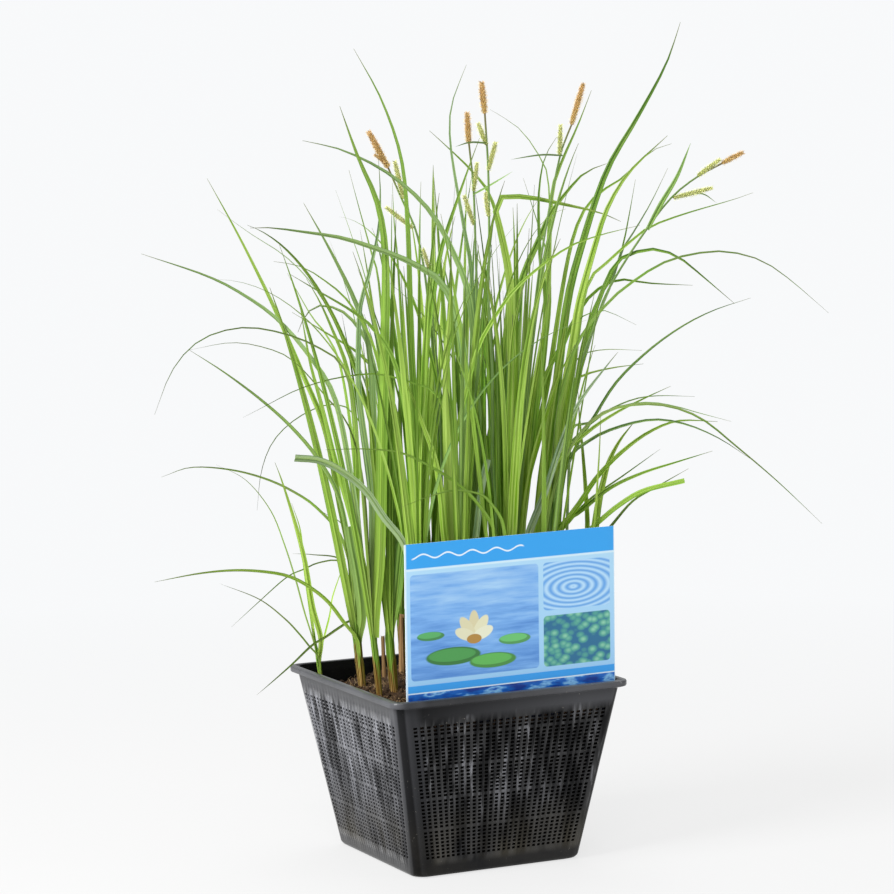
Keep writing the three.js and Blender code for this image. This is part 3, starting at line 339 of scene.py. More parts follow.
steps = np.linspace(-FLOOR_SIZE / 2, FLOOR_SIZE / 2, FLOOR_LINES)
floor_points = np.stack(np.meshgrid(steps, steps, FLOOR_Z, indexing="ij"), -1).reshape(-1, 3)
corner = np.arange(FLOOR_LINES**2).reshape(FLOOR_LINES, FLOOR_LINES)
squares = np.stack([corner[:-1, :-1], corner[1:, :-1], corner[1:, 1:], corner[:-1, 1:]], -1)
floor = make_piece("floor", floor_points, [squares.reshape(-1, 4)])
finish = Finish("pale floor")
_, (floor_x, floor_y, _) = finish.place()
far = ((floor_x * floor_x + floor_y * floor_y) ** 0.5).above(0.85, 0.45)
paint = finish.mix(far, (0.11, 0.11, 0.11), (0.0, 0.0, 0.0))
glow = finish.mix(far, (0.73, 0.73, 0.73), SURROUND)
floor.data.materials.append(finish.done(Base_Color=paint, Emission_Color=glow, Emission_Strength=1.0,
                                        Roughness=0.7, Specular_IOR_Level=0.0))
floor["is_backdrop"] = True
print("floor", FLOOR_SIZE, "mm")

# %% [markdown]
# ## Where the leaves are
#
# The solids were drawn on an upright plane that faces the front left corner, s to the right and z up,
# and then each leaf was moved away from an eye in front of the plane to its own depth. The same rule
# gives the finer leaves the same place. All sizes here are in millimetres.

# %% The drawing plane
PLANE_TURN = np.radians(-26.31)
ACROSS = np.array([np.cos(PLANE_TURN), np.sin(PLANE_TURN), 0])
AWAY = np.array([-np.sin(PLANE_TURN), np.cos(PLANE_TURN), 0])
UP = np.array([0.0, 0, 1])
EYE_S, EYE_DISTANCE, EYE_Z = -4.2, 2391, 560


def place(flat, depth):
    """Points [s, z] on the plane, moved along their lines from the eye to a depth."""
    flat = np.asarray(flat, float)
    depth = np.asarray(depth, float)
    spread = 1 + depth / EYE_DISTANCE
    across = EYE_S + (flat[..., 0] - EYE_S) * spread
    height = EYE_Z + (flat[..., 1] - EYE_Z) * spread
    return across[..., None] * ACROSS + depth[..., None] * AWAY + height[..., None] * UP


def unit(vector):
    """Vectors along the last axis, made 1 long."""
    vector = np.asarray(vector, float)
    return vector / np.linalg.norm(vector, axis=-1, keepdims=True)


def square_to(axis, vector):
    """The part of a vector that is square to each axis, made 1 long."""
    return unit(vector - (axis @ vector)[..., None] * axis)


def circle(count):
    """Angles at even steps round a circle."""
    return 2 * np.pi * np.arange(count) / count


SOIL_EDGE, SOIL_HEAP, HEAP_CENTRE, HEAP_SPREAD, CRUMB = 115, 21, (0, 42), 58, 0.9


def soil_height(x, y):
    """A level bed, plus a heap that falls off as exp(-distance squared), plus two crossing waves."""
    distance = ((x - HEAP_CENTRE[0]) ** 2 + (y - HEAP_CENTRE[1]) ** 2) / HEAP_SPREAD ** 2
    crumbs = np.sin(0.31 * x + 0.17 * y) + np.sin(-0.11 * x + 0.37 * y + 2)
    return SOIL_EDGE + SOIL_HEAP * np.exp(-distance) + CRUMB * crumbs


SAMPLES = 12


def smooth_path(points, direction):
    """A Catmull-Rom curve that starts in a direction: each span is a cubic in t whose weights on the
    four nearest points are (-t + 2t2 - t3, 2 - 5t2 + 3t3, t + 4t2 - 3t3, -t2 + t3) / 2."""
    points = np.asarray(points, float)
    before = points[0] - direction * np.linalg.norm(points[1] - points[0])
    knots = np.vstack([before, points, 2 * points[-1] - points[-2]])
    t = np.arange(SAMPLES) / SAMPLES
    weights = np.stack([-t + 2 * t**2 - t**3, 2 - 5 * t**2 + 3 * t**3, t + 4 * t**2 - 3 * t**3, t**3 - t**2])
    spans = np.stack([knots[k:len(knots) - 3 + k] for k in range(4)])
    curve = np.einsum("kt,knc->ntc", weights / 2, spans).reshape(-1, 3)
    return np.vstack([curve, points[-1]])


def uv_map(across, along):
    """UV of every ring point in mm: round or across the piece, and along it."""
    return np.stack(np.broadcast_arrays(across, along), -1)


def lengths(path):
    """The length of a path from its start to each of its points."""
    return np.concatenate([[0], np.cumsum(np.linalg.norm(np.diff(path, axis=0), axis=1))])


def resample(path, steps):
    """Points at equal steps along a path, and the path's length."""
    along = lengths(path)
    wanted = np.linspace(0, along[-1], steps + 1)
    return np.stack([np.interp(wanted, along, path[:, k]) for k in range(3)], -1), along[-1]


def tangents(path):
    """The direction of a path at each point: from the point before to the point after."""
    ends = np.vstack([path[:1], path, path[-1:]])
    return unit(ends[2:] - ends[:-2])


def rings_round(centres, side, back, u, v):
    """Rings of points: from each centre, u along side and v along back."""
    side, back = np.atleast_2d(side)[:, None], np.atleast_2d(back)[:, None]
    return centres[:, None] + u[..., None] * side + v[..., None] * back


print("peat is", round(float(soil_height(*HEAP_CENTRE)), 1), "mm high at the heap")

# %% Measures of the shoots, leaves, stems and spikes
# foot x, foot y, height of the sheath, girth, filling leaves
SHOOTS = [
    (-76, 76, 42, 0.45, 0), (-56, 47, 78, 0.85, 1), (-57, 14, 74, 0.65, 1), (-45, 14, 70, 0.9, 3),
    (-52, -52, 84, 1, 7), (-35, -22, 80, 1, 8), (-18, 9, 82, 1, 8), (18, 69, 76, 1, 9),
    (-20, -51, 82, 1, 6), (-2, -21, 80, 1.1, 8), (13, 14, 84, 1, 8), (29, 41, 78, 1, 8),
    (3, -64, 84, 1, 7), (18, -44, 80, 1, 8), (35, -15, 78, 1.1, 8), (47, 15, 80, 1, 8),
    (60, 46, 72, 1, 5), (36, -64, 84, 1, 5), (53, -42, 80, 1, 0), (70, -12, 78, 1.1, 0),
    (68, -54, 80, 1, 0), (-10, 70, 76, 0.9, 7),
]

# Each line: plain numbers, then a path of s,z from low to high: its first point, and the steps to the next.
def table(text):
    """Rows of a text, each as its plain numbers and its path's points."""
    for line in text.strip().splitlines():
        words = line.split()
        numbers = [json.loads(word) for word in words if "," not in word]
        steps = [json.loads(f"[{word}]") for word in words if "," in word]
        yield *numbers, np.cumsum(steps, 0, float)


# shoot, width, turn, depth at the tip, blunt
LEAVES = list(table("""
1 5 70 30 0 -101,163 -6,25 -5,34 -7,30 -9,31 -5,14
1 3.5 50 55 0 -109,189 -4,34 -2,23 -6,20
1 3 30 70 0 -113,184 -6,24 -8,27 -10,26 -18,23 -22,12
1 3.5 30 0 0 -103,149 -7,9 -7,9 -11,12 -19,15 -29,12
1 3 30 60 0 -98,166 4,15 3,16 10,27
2 5.2 70 -10 0 -78,223 -7,41 -10,57 -16,42 -20,49 -18,39 -13,26 -17,32
2 4.5 60 -40 0 -77,219 -8,49 -15,30 -18,23 -22,21 -28,22 -27,18
2 5 35 20 0 -75,200 -9,39 -18,23 -18,13 -21,10 -26,7 -29,2 -22,-7
2 5 45 -20 0 -74,162 -10,14 -11,15 -13,11 -14,8 -16,4 -25,2 -28,-2 -34,-6
2 4.5 35 -30 0 -77,176 -9,-4 -12,-8 -10,-6 -15,-14 -15,-13 -12,-10
2 4 30 60 0 -79,204 -6,19 -21,4 -15,1
2 3 30 80 0 -78,200 -7,21 -16,0 -12,-5 -13,-6 -22,-19 -20,-18
2 4 35 50 0 -79,234 -5,16 -9,6 -8,5
2 7.5 80 -5 1 -70,180 -3,30 -4,24 -2,14
2 6 70 20 0 -73,253 1,52 -2,38 -5,28 -9,24 -9,21 -10,18
3 5.2 65 20 0 -69,222 -7,61 -11,60 -17,31 -24,29 -25,19 -28,15 -48,17
3 7 75 -30 0 -61,222 2,98 -2,60 -9,34 -18,39 -20,37
3 4.5 30 0 0 -65,222 -6,91 -8,51 -19,18 -29,12 -30,4 -30,-9 -21,-22 -14,-33
3 3 30 40 0 -61,237 -4,76 -11,22 -15,5 -23,-9 -19,-17 -10,-23 -4,-30
3 5.5 65 40 0 -66,207 -10,46 -12,45 -10,44 -7,28 -4,24 -3,19
3 4.2 50 70 0 -70,238 -5,75 -8,56 -10,23 -10,13 -9,16 -9,17
3 9.5 80 -10 0 -56,222 3,83 3,68 2,74 -5,41 -14,35 -13,38
3 6 65 60 0 -61,268 -8,75 0,45 2,26 7,24 7,30 2,27 -1,27
3 3.5 30 30 0 -66,268 -10,52 -19,27 -23,26 -21,10 -25,4 -31,-5
4 4.5 55 -20 0 -46,252 -2,68 -9,60 -18,35 -18,17 -18,11 -20,4
4 6 75 -50 0 -46,237 -4,76 -6,45 -6,26 -7,13 -10,11 -11,5 -11,0 -8,-8 -5,-11
4 4 50 40 0 -46,267 -2,76 -5,85 -6,27 -8,31 -7,28
4 4 30 90 0 -51,268 -10,75 -14,37 -15,30 -16,24 -18,18 -24,16 -24,18
4 5.5 60 0 0 -41,222 2,83 -7,41 -20,29 -28,19 -24,15
4 3 35 60 0 -47,283 -3,75 -11,67 -12,41 -11,33
4 8 80 -50 1 -44,192 5,41 5,13 5,11 6,12
5 5.5 75 -95 1 -32,211 -6,24 -14,19 -14,21 -18,15 -16,8 -18,2
6 7 75 -40 0 -22,252 0,75 4,60 5,33 6,32 8,25 8,22 7,19 7,18
6 6 60 30 0 -26,222 -6,90 -10,57 -15,26 -16,14 -26,16 -21,13
7 6 65 20 0 -21,252 -7,90 -2,68 -1,59 -4,52 -14,44 -20,38
7 4.5 50 40 0 -28,282 -7,90 -4,75 -2,26 -1,31
9 5 55 -90 0 -2,222 -1,45 7,52 8,34 8,28 13,23 19,24 33,25 26,10 30,7
9 6.5 75 -80 0 -3,210 -4,30 -2,27 -4,29 -8,25 -10,27 -9,18
9 4.5 30 -20 0 3,237 -4,67 -9,40 -16,10 -28,8 -22,-1 -21,-4 -21,-7 -22,-11 -16,-8
9 8 80 -55 0 -2,222 -2,90 0,60 4,45 1,33
9 5 80 -70 1 12,206 4,30 2,15 3,23 5,23
10 8 70 -60 0 11,282 -1,82 -7,45 -11,22 -14,10 -18,9 -19,7 -22,7 -30,5 -22,3 -15,0
10 7 65 -10 0 16,251 3,91 -5,74 -10,32 -18,34 -28,27 -35,19 -31,8
10 7 80 0 0 21,226 1,59 1,60 2,60 6,52
11 6 50 20 0 12,252 5,90 -1,89 -5,37 -7,43 -3,28 2,23 11,28
12 7 60 30 0 20,267 16,89 6,45 2,30 -5,33 -10,32 -13,17 -15,15 -15,14
13 4.5 45 -100 0 32,221 -1,21 -10,18 -14,16 -20,14 -23,12 -26,4 -33,0
13 4 45 -110 0 39,221 -2,26 -4,10 -6,8 -7,6 -19,3 -18,-4 -22,-8
13 8 80 -50 0 43,236 3,45 5,60 8,52 11,41 12,27
14 6.5 70 -70 0 51,221 6,22 12,30 13,38 13,28 19,25 10,12
14 5 70 -60 0 48,213 5,46 5,30 7,26 9,26 8,22 10,19
14 8 80 -20 0 35,226 -4,60 -2,59 -3,52 -6,37
14 8 80 -30 0 40,226 1,60 2,52 3,52 8,37
15 9 75 -20 0 35,251 9,90 1,53 -1,37 -5,30 -5,23 3,7 8,2 19,-2 18,-4 29,-7 16,-7
15 5 45 -40 0 57,221 26,28 12,8 22,17 24,11 26,8 27,8
15 6 60 30 0 54,266 16,135 -3,44 -1,34 1,22 4,20 9,15
15 4 40 60 0 57,281 13,105 4,81 -1,40 -7,17 -14,19 -21,14
15 8 80 -10 0 49,227 4,59 5,45 8,44 7,45
16 8 80 10 0 59,227 8,59 6,45 7,37 8,45
16 9 75 0 0 41,251 2,105 5,52 7,28 10,22 9,20 11,15 15,16 17,7
16 6 50 20 0 50,281 16,67 16,34 16,29 13,13 15,6 22,-3 32,-2
16 7 65 50 0 50,266 16,90 6,60 2,51 3,32 8,22 11,24 10,25
16 4 30 70 0 57,281 24,90 11,26 8,7 9,3 9,-1 20,-10
17 6 50 80 0 50,266 19,75 14,82 8,37 9,22 12,13 16,10 21,19 16,6
17 4.5 45 60 0 50,281 22,112 1,51 -4,16 -9,30 -5,16
17 3.5 35 90 0 57,281 24,71 15,21 18,5 28,-1
18 5 60 -60 0 70,221 10,22 15,21 13,19 18,18 21,15 22,8 29,-1
18 4.5 30 -30 0 68,236 12,52 19,32 19,13 25,4 23,-3 22,-10 23,-19 31,-27 34,-33
21 3.8 65 -60 1 79,213 15,22 16,15 15,12 18,10 30,7
18 5 60 0 0 68,251 8,41 23,23 22,15 22,11 20,9
19 4.5 35 -20 0 76,307 10,54 12,29 22,26 18,14 18,11 18,6 27,3 27,-6 22,-14 31,-27
19 4.2 40 20 0 71,251 20,52 15,25 17,26 24,23 24,17 24,12 28,9
19 4.2 45 -50 0 72,236 12,56 15,16 19,10 29,7 25,-3 26,-11 24,-16
19 3.5 50 -20 0 90,213 19,22 10,12 15,17 17,10 25,14
20 8 70 30 0 69,266 8,75 10,74 13,48 11,33 10,23 19,31 21,38 11,31
20 8 75 -20 0 72,251 10,82 9,53 5,29 13,45 9,25 16,25 28,26
20 6 60 -30 0 80,281 19,97 14,44 11,21 13,7 17,2 17,-7 17,-14 23,-20
20 4.5 45 40 0 80,296 23,89 16,41 9,26 7,11 14,23 13,26
20 5 45 60 0 76,281 6,64 14,13 22,6 25,3
21 7 75 -30 0 102,220 4,26 3,19 4,17 4,13 8,15 11,14
21 3 50 -20 0 98,213 7,32 3,35 2,30 1,26
21 4.5 70 -50 0 96,213 4,30 -1,30 -2,30 -2,23 -1,22
20 4.5 50 0 0 76,271 9,54 8,54 9,48 17,18 16,14 14,10 25,9 36,10 15,5
20 4.2 55 30 0 81,276 8,49 6,43 7,29 9,21 9,14 8,22 5,23 5,27
19 4 35 -60 0 83,303 18,20 24,12 21,3 20,-3 17,-5 25,-7
20 3.5 35 40 0 83,292 11,22 15,13 10,7 18,7 18,2 26,-1
19 3.5 35 60 0 75,238 8,7 18,20 27,19 27,19
"""))
# foot s, foot d, radius, depth at the top
STEMS = list(table("""
-6 36 1.5 40 -11,327 -6,90 -7,47 -11,27 -10,24
22 -2 1.5 -8 24,327 -4,89 -1,31 -1,50 -3,35
22 -44 1.5 -52 30,327 -2,89 1,38 0,57 -2,43
51 8 1.4 14 53,326 10,90 8,52 11,53 9,24
82 4 1.4 10 89,326 19,74 17,36 33,47 22,20 22,12
-8 -16 1.2 -20 -9,327 -4,67 -2,30 -1,17
"""))
# stem, width, turn, depth
BRACTS = list(table("""
2 3 30 -30 18,494 12,7 17,10
3 3 30 -75 28,532 -12,1 -11,-3
4 3 30 -10 82,522 -14,1 -22,-3
5 3 30 35 167,491 19,2 12,-7
5 4.2 70 -15 147,466 10,20 12,20 10,24
"""))

# kind, stem, foot s, foot z, tip s, tip z, radius
SPIKES = [
    ("male", 1, -45, 515, -59, 542, 3.1), ("male", 1, -44, 517, -55, 525, 2),
    ("female", 1, -34, 492, -40, 520, 2.6), ("female", 1, -27, 470, -47, 486, 2.4),
    ("male", 2, 15, 532, 14, 555, 2.9), ("female", 2, 18, 497, 21, 518, 2.4),
    ("female", 2, 18, 472, 11, 494, 2.4), ("male", 3, 27, 554, 25, 577, 3),
    ("female", 3, 28, 531, 22, 547, 2.5), ("female", 3, 29, 512, 35, 533, 2.5),
    ("female", 3, 29, 478, 27, 496, 2.5), ("male", 4, 91, 545, 100, 575, 2.8),
    ("female", 4, 82, 522, 83, 545, 2.4), ("male", 5, 202, 515, 218, 523, 2.6),
    ("female", 5, 184, 506, 201, 518, 2.5), ("female", 5, 166, 490, 195, 497, 2.5),
    ("female", 6, -16, 441, -20, 455, 2.2),
]

# foot s, foot d, radius, top s, top z
CUT_STEMS = [(-54.5, 26.5, 1.7, -54.5, 165), (-41, 22, 2.5, -40, 181)]
print(len(LEAVES), "drawn leaves")

# %% [markdown]
# ## Leaves
#
# A sedge leaf is a long strip, folded along its midrib with the two halves arched, so that a cut
# across it looks like a flat M. It could be a flat card with a picture of a leaf, but then it would
# have no edge and no fold. Here the M is carried along the leaf's path, as rings of eight points.
#
# Each shoot's leaves were tried at a few depths until they stayed clear of the others. The solid says
# which try was grown: the tip of that try is one of its corners.

# %% Paths of the leaves
SHEATH_ACROSS, SHEATH_ALONG = 4.1, 3.5
LEAN_X, LEAN_Y = 0.0016, 0.0007
LEAVING, DEPTH_POWER = 0.45, 1.3
SHIFTS = [0, 8, -8, 16, -16, 24, -24, 34, -34, 46, -46, 60, -60, 75, -75]
ATTEMPTS, FILLER_PIECES = 40, 40
ARCHING_SHARE, BACKWARD = 0.4, 0.006
ARCHING = {"spread": 0.12, "length": (270, 400), "tip_lean": (45, 90)}
UPRIGHT = {"spread": 0.3, "length": (190, 340), "tip_lean": (6, 26)}
KEEL, KEEL_THINNING, TIP_REACH = 0.95, 0.35, 0.02


def shoot_axis(shoot):
    """The direction a shoot rises in: it leans away from the middle of the tuft."""
    return unit([LEAN_X * shoot[0], LEAN_Y * shoot[1], 1])


def shoot_point(shoot, height):
    """Points on a shoot's axis at heights above the peat."""
    foot = np.array([shoot[0], shoot[1], soil_height(shoot[0], shoot[1])])
    return foot + np.multiply.outer(height, shoot_axis(shoot))


def plane_hinge(path):
    """Square to the drawing plane, on the side that keeps the upper face of a leaning leaf up."""
    return AWAY * (-1 if (path[-1] - path[0]) @ ACROSS < 0 else 1)


def leaf_of(path, width, turn, twist, hinge, blunt=0):
    """What a leaf's rings are made from. It turns about its path by turn, and by twist more at its tip."""
    return {"path": path, "width": width, "turns": (turn, turn + twist), "hinge": hinge, "blunt": blunt}


def leaving(shoot, root, outward):
    """The point inside the sheath where a leaf starts."""
    return root + outward * LEAVING * SHEATH_ALONG * shoot[3]


def drawn_leaf(leaf, index, shift):
    """A drawn leaf. Its depth grows as a power of the share of its length."""
    number, width, turn, depth, blunt, drawn = leaf
    shoot = SHOOTS[number - 1]
    rise = drawn[0, 1] - soil_height(shoot[0], shoot[1])
    root = shoot_point(shoot, min(shoot[2] * (0.5 + 0.1 * (index % 4)), max(8, rise - 22)))
    along = lengths(np.vstack([[root @ ACROSS, root[2]], drawn]))[1:]
    way = (along / along[-1]) ** DEPTH_POWER
    points = place(drawn, root @ AWAY + (depth + shift - root @ AWAY) * way)
    outward = unit((points[0] - root) * [1, 1, 0])
    path = smooth_path(np.vstack([leaving(shoot, root, outward), points]), shoot_axis(shoot))
    return leaf_of(path, width, turn, 0, plane_hinge(path), blunt)


def draws(seed):
    """A stream of numbers between 0 and 1: each state is the last one times a big number, plus one."""
    state = (seed * 7919 + 12345) % 2**32
    for count in range(20):
        state = (state * 1664525 + 1013904223) % 2**32
        if count > 1:
            yield state / 2**32


def filling_leaf(number, index, attempt):
    """A leaf that fills the tuft. Its lean grows as a power of the way along it."""
    shoot = SHOOTS[number - 1]
    pick = draws(number * 1009 + index * 101 + attempt * 13)
    draw = lambda low=0, high=1: low + (high - low) * next(pick)
    habit = ARCHING if draw() < ARCHING_SHARE else UPRIGHT
    bearing = draw(0, 2 * np.pi)
    root = shoot_point(shoot, shoot[2] * draw(0.45, 0.85))
    away = np.sin(bearing) + BACKWARD * (root @ AWAY)
    outward = unit(habit["spread"] * np.cos(bearing) * ACROSS + away * AWAY)
    length, root_lean, tip_lean = draw(*habit["length"]), draw(2, 7), draw(*habit["tip_lean"])
    way = ((np.arange(FILLER_PIECES) + 0.5) / FILLER_PIECES) ** draw(1.3, 2.5)
    lean = np.radians(root_lean + (tip_lean - root_lean) * way)[:, None]
    steps = unit(shoot_axis(shoot) * np.cos(lean) + outward * np.sin(lean)) * length / FILLER_PIECES
    path = leaving(shoot, root, outward) + np.vstack([np.zeros(3), np.cumsum(steps, axis=0)])
    return leaf_of(path, draw(4, 8), 35 * draw(-1, 1), 40 * draw(-1, 1), np.cross(UP, outward))


def corners_of(node):
    """All corners of a solid of the frame, in mm."""
    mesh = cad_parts[node].data
    flat = np.empty(len(mesh.vertices) * 3)
    mesh.vertices.foreach_get("co", flat)
    return flat.reshape(-1, 3) * 1000


def grown(node_corners, tries):
    """The try whose tip is a corner of the solid. The corner of a cut edge lies a keel below its end."""
    for leaf in tries:
        distance = np.linalg.norm(node_corners - leaf["path"][-1], axis=1).min()
        if abs(distance - (KEEL * (1 - KEEL_THINNING) if leaf["blunt"] else 0)) < TIP_REACH:
            return leaf


leaves = [[] for _ in SHOOTS]
solid_corners = [corners_of(f"shoot_{k + 1:02d}") for k in range(len(SHOOTS))]
for index, leaf in enumerate(LEAVES):
    found = grown(solid_corners[leaf[0] - 1], (drawn_leaf(leaf, index, shift) for shift in SHIFTS))
    if found:
        leaves[leaf[0] - 1].append(dict(found, drawn=index))
for k, shoot in enumerate(SHOOTS):
    for index in range(shoot[4]):
        found = grown(solid_corners[k], (filling_leaf(k + 1, index, n) for n in range(ATTEMPTS)))
        if found:
            leaves[k].append(dict(found, drawn=None))
print("leaves grown on each shoot", list(map(len, leaves)))

# %% Rings of a leaf
SECTION = np.array([(1, 0.05), (0.55, 0.42), (0, -0.95), (-0.55, 0.42), (-1, 0.05), (-0.55, 0.08), (0, -1.3),
                    (0.55, 0.08)])
UNDER = np.array([0.5, 0, 0, 0, 0.5, 1, 1, 1])
STATIONS = 32
HAIR = 0.14
ROOT_WIDTH, SWELL_END = 0.72, 0.35


def leaf_rings(leaf):
    """Rings of a leaf, its UV (mm across and mm along) and the share of the way along it. The width
    swells over the first third and then falls as (1 - share^2.2)^0.85."""
    path, length = resample(leaf["path"], STATIONS)
    share = np.linspace(0, 1, STATIONS + 1)
    tangent = tangents(path)
    flat = square_to(tangent, leaf["hinge"])
    turn = np.radians(np.interp(share, [0, 1], leaf["turns"]))[:, None]
    side = flat * np.cos(turn) + np.cross(tangent, flat) * np.sin(turn)
    width = ROOT_WIDTH + (1 - ROOT_WIDTH) * np.sin(np.minimum(share / SWELL_END, 1) * np.pi / 2)
    if not leaf["blunt"]:
        width = width * (1 - share**2.2) ** 0.85
    half = np.maximum(leaf["width"] * width / 2, HAIR)
    deep = KEEL * (1 - KEEL_THINNING * share) * np.minimum(half / 2.2, 1)
    across = half[:, None] * SECTION[:, 0]
    rings = rings_round(path, side, np.cross(tangent, side), across, deep[:, None] * SECTION[:, 1])
    return rings, uv_map(across, (share * length)[:, None]), np.repeat(share, len(SECTION))


print("one leaf: rings, points", leaf_rings(leaves[0][0])[0].shape[:2])

# %% Sheaths
SHEATH_SIDES, SHEATH_ROWS = 28, 44
ROOT_DEPTH, SHEATH_BELLY, SHEATH_TOP = 15, 0.55, 1.1
SHEATH_GIRTHS = [0.62, 1, 0.3]
LAYERS, LAYER_THICK = 4, 0.34


def sheath_rings(shoot, k):
    """The tube at a shoot's foot. Leaf bases wrap it in layers: each ends in a slanting mouth, and the
    tube is a layer thinner above it. Mouths face three ways in turn, as the leaves do."""
    girth, height = shoot[3], shoot[2]
    levels = np.linspace(-ROOT_DEPTH, SHEATH_TOP * height, SHEATH_ROWS)[:, None]
    angle = circle(SHEATH_SIDES)
    body = np.interp(levels, [-ROOT_DEPTH, SHEATH_BELLY * height, SHEATH_TOP * height], SHEATH_GIRTHS)
    layers = np.zeros((SHEATH_ROWS, SHEATH_SIDES))
    for n in range(LAYERS):
        facing = 2 * np.pi * (n / 3 + 0.17 * k)
        mouth = height * (0.24 + 0.19 * n) + 4 * np.sin(7 * k + n) - 5 * np.cos(angle - facing)
        layers += np.clip((mouth - levels) / 1.2, 0, 1)
    off = LAYER_THICK * girth * (layers - LAYERS * 0.7)
    ridge = 0.10 * np.sin(9 * angle + k) + 0.05 * np.sin(17 * angle)
    along = shoot_axis(shoot)
    side = square_to(along, ACROSS)
    u = (SHEATH_ACROSS * girth * body + off + ridge) * np.cos(angle)
    v = (SHEATH_ALONG * girth * body + off + ridge) * np.sin(angle)
    rings = rings_round(shoot_point(shoot, levels[:, 0]), side, np.cross(along, side), u, v)
    return rings, uv_map(angle * SHEATH_ACROSS * girth, levels), layers


print("one sheath: rings, points", sheath_rings(SHOOTS[1], 1)[0].shape[:2])

# %% Finish of the leaves
# tone: 0 yellow-green, 1/3 mid green, 2/3 dark green, 1 grey-green. age: 1 is brown and dry.
finish = Finish("sedge leaf")
across, along = finish.map()
_, (place_x, place_y, high) = finish.place()
tone, share, under = finish.number("tone"), finish.number("share"), finish.number("under")
sheathing, seed, dry = finish.number("sheath"), finish.number("seed"), finish.number("dry")
# Each leaf's colour runs between deep, a painted shade stripe, and light, a painted highlight stripe, picked
# by noise along the veins. It is partly the leaf's own streaks and partly painted light.
deep = finish.ramp(tone, (0.0, (0.18, 0.34, 0.012)), (0.33, (0.085, 0.21, 0.004)),
                   (0.66, (0.030, 0.10, 0.002)), (1.0, (0.13, 0.21, 0.11)))
light = finish.ramp(tone, (0.0, (0.58, 0.76, 0.16)), (0.33, (0.38, 0.58, 0.085)),
                    (0.66, (0.21, 0.40, 0.04)), (1.0, (0.50, 0.60, 0.44)))
stripes = finish.noise((across * 1.2, along * 0.008, seed * 31), detail=2)
lines = finish.noise((across * 1.9, along * 0.01, seed * 17), detail=1, rough=0.4)
patches = finish.noise((seed * 9, along * 0.02, sheathing * across * 0.2), detail=2)
vein_and_painted_light_stripes = (stripes.above(0.5, 0.035) * 0.9 + lines.above(0.5, 0.08) * 0.15 + (patches - 0.5) * 0.8).clamp()
# inner is painted shade: low in the middle of the tuft the leaves are multiplied to a darker, more saturated
# green, as if shaded by the leaves around them.
inner = ((place_x * place_x + place_y * place_y) ** 0.5).under(0.045, 0.03) * high.under(0.36, 0.12)
inner = inner * (0.25 + tone.above(0.07, 0.05) * 0.75)
tip = share.above(0.8, 0.2)
blade = finish.over(
    finish.mix(vein_and_painted_light_stripes, deep, light),
    # pale lines: painted highlights along the vein crests, partly the veins' own paler colour
    (lines.above(0.6, 0.03) * 0.4, (0.52, 0.66, 0.22)),
    # painted shade inside the tuft
    (inner * 0.9, (0.50, 0.78, 0.05), "MULTIPLY"),
    (high.above(0.38, 0.14) * 0.26, (0.13, 0.23, 0.10)),
    (under.above(0.5, 0.08) * 0.25, (0.28, 0.42, 0.08)),
    (across.abs().under(0.32, 0.18) * (1 - share) * 0.5, (0.42, 0.58, 0.10)),
    (share.under(0.16, 0.16) * 0.45, (0.36, 0.50, 0.09)),
    (tip * 0.9, (0.44, 0.46, 0.38), "MULTIPLY"),
    ((share.above(0.965, 0.025) * 0.8 + dry * patches.above(0.5, 0.2)).clamp(), (0.15, 0.15, 0.075)))
# The sheath is straw and brown at the peat and green above. Its outer layers are browner.
strip = (stripes * 3.8 - 1.45 + (lines - 0.5) * 2.2).clamp()
straw = finish.ramp(strip, (0.1, (0.030, 0.010, 0.003)), (0.5, (0.20, 0.085, 0.02)),
                    (0.9, (0.64, 0.44, 0.16)))
greens = finish.ramp(strip, (0.1, (0.035, 0.10, 0.004)), (0.9, (0.34, 0.54, 0.09)))
browning = (0.85 - along / 44 + (patches - 0.5) * 3 + (finish.number("layer") - 2) * 0.2).above(0.5, 0.12)
leaf_finish = finish.done(
    (0.2 + vein_and_painted_light_stripes * 0.26 - tip * 0.14, (0.35, 0.55, 0.03)),
    Base_Color=finish.mix(sheathing, blade, finish.mix(browning, greens, straw)),
    Roughness=0.5 + stripes * 0.25 + sheathing * 0.2, Normal=finish.bump(lines, 0.0002, 0.5),
    Specular_IOR_Level=0.03, Coat_Weight=(1 - inner) * (vein_and_painted_light_stripes * 0.26 + 0.03), Coat_Roughness=0.38)
print("leaf finish has", len(finish.tree.nodes), "nodes")

# %% Shoots
# Tones of the drawn leaves, by their number in the list above. The rest take theirs by width.
HAIRS = (2, 3, 7, 9, 10, 11, 17, 18, 23, 67, 70, 73)
TONES = {
    0.0: (0, 4, 39, 50, 53, 57, 58, 75, 78, 79, 80, 81),
    0.14: (1, 5, 8, 36, 45, 48, 52, 63, 65, 66, 69, 82, 83),
    0.38: (14, 19, 20, 21, 24, 28, 35, 54, 56, 59, 68, 86),
    0.56: (26, 29, 33, 34, 43, 46, 47, 51, 55, 64, 74, 76),
    0.66: HAIRS,
    0.76: (6, 12, 13, 30, 72, 84, 85),
    0.86: (15, 16, 22, 25, 41, 42, 44, 77),
    1.0: (27, 31, 40, 49),
}
BROAD, MIDDLE, THIN = (0.05, 0.2, 0.4, 0.1, 0.33), (0.25, 0.5, 0.12, 0.6, 0.74), (0.66, 0.4, 0.6, 0.2, 0.05)
BROAD_FROM, THIN_UNDER, HAIR_DRY, SOME_DRY = 6.4, 4.2, 0.65, 0.18
tone_of = {number: tone for tone, group in TONES.items() for number in group}
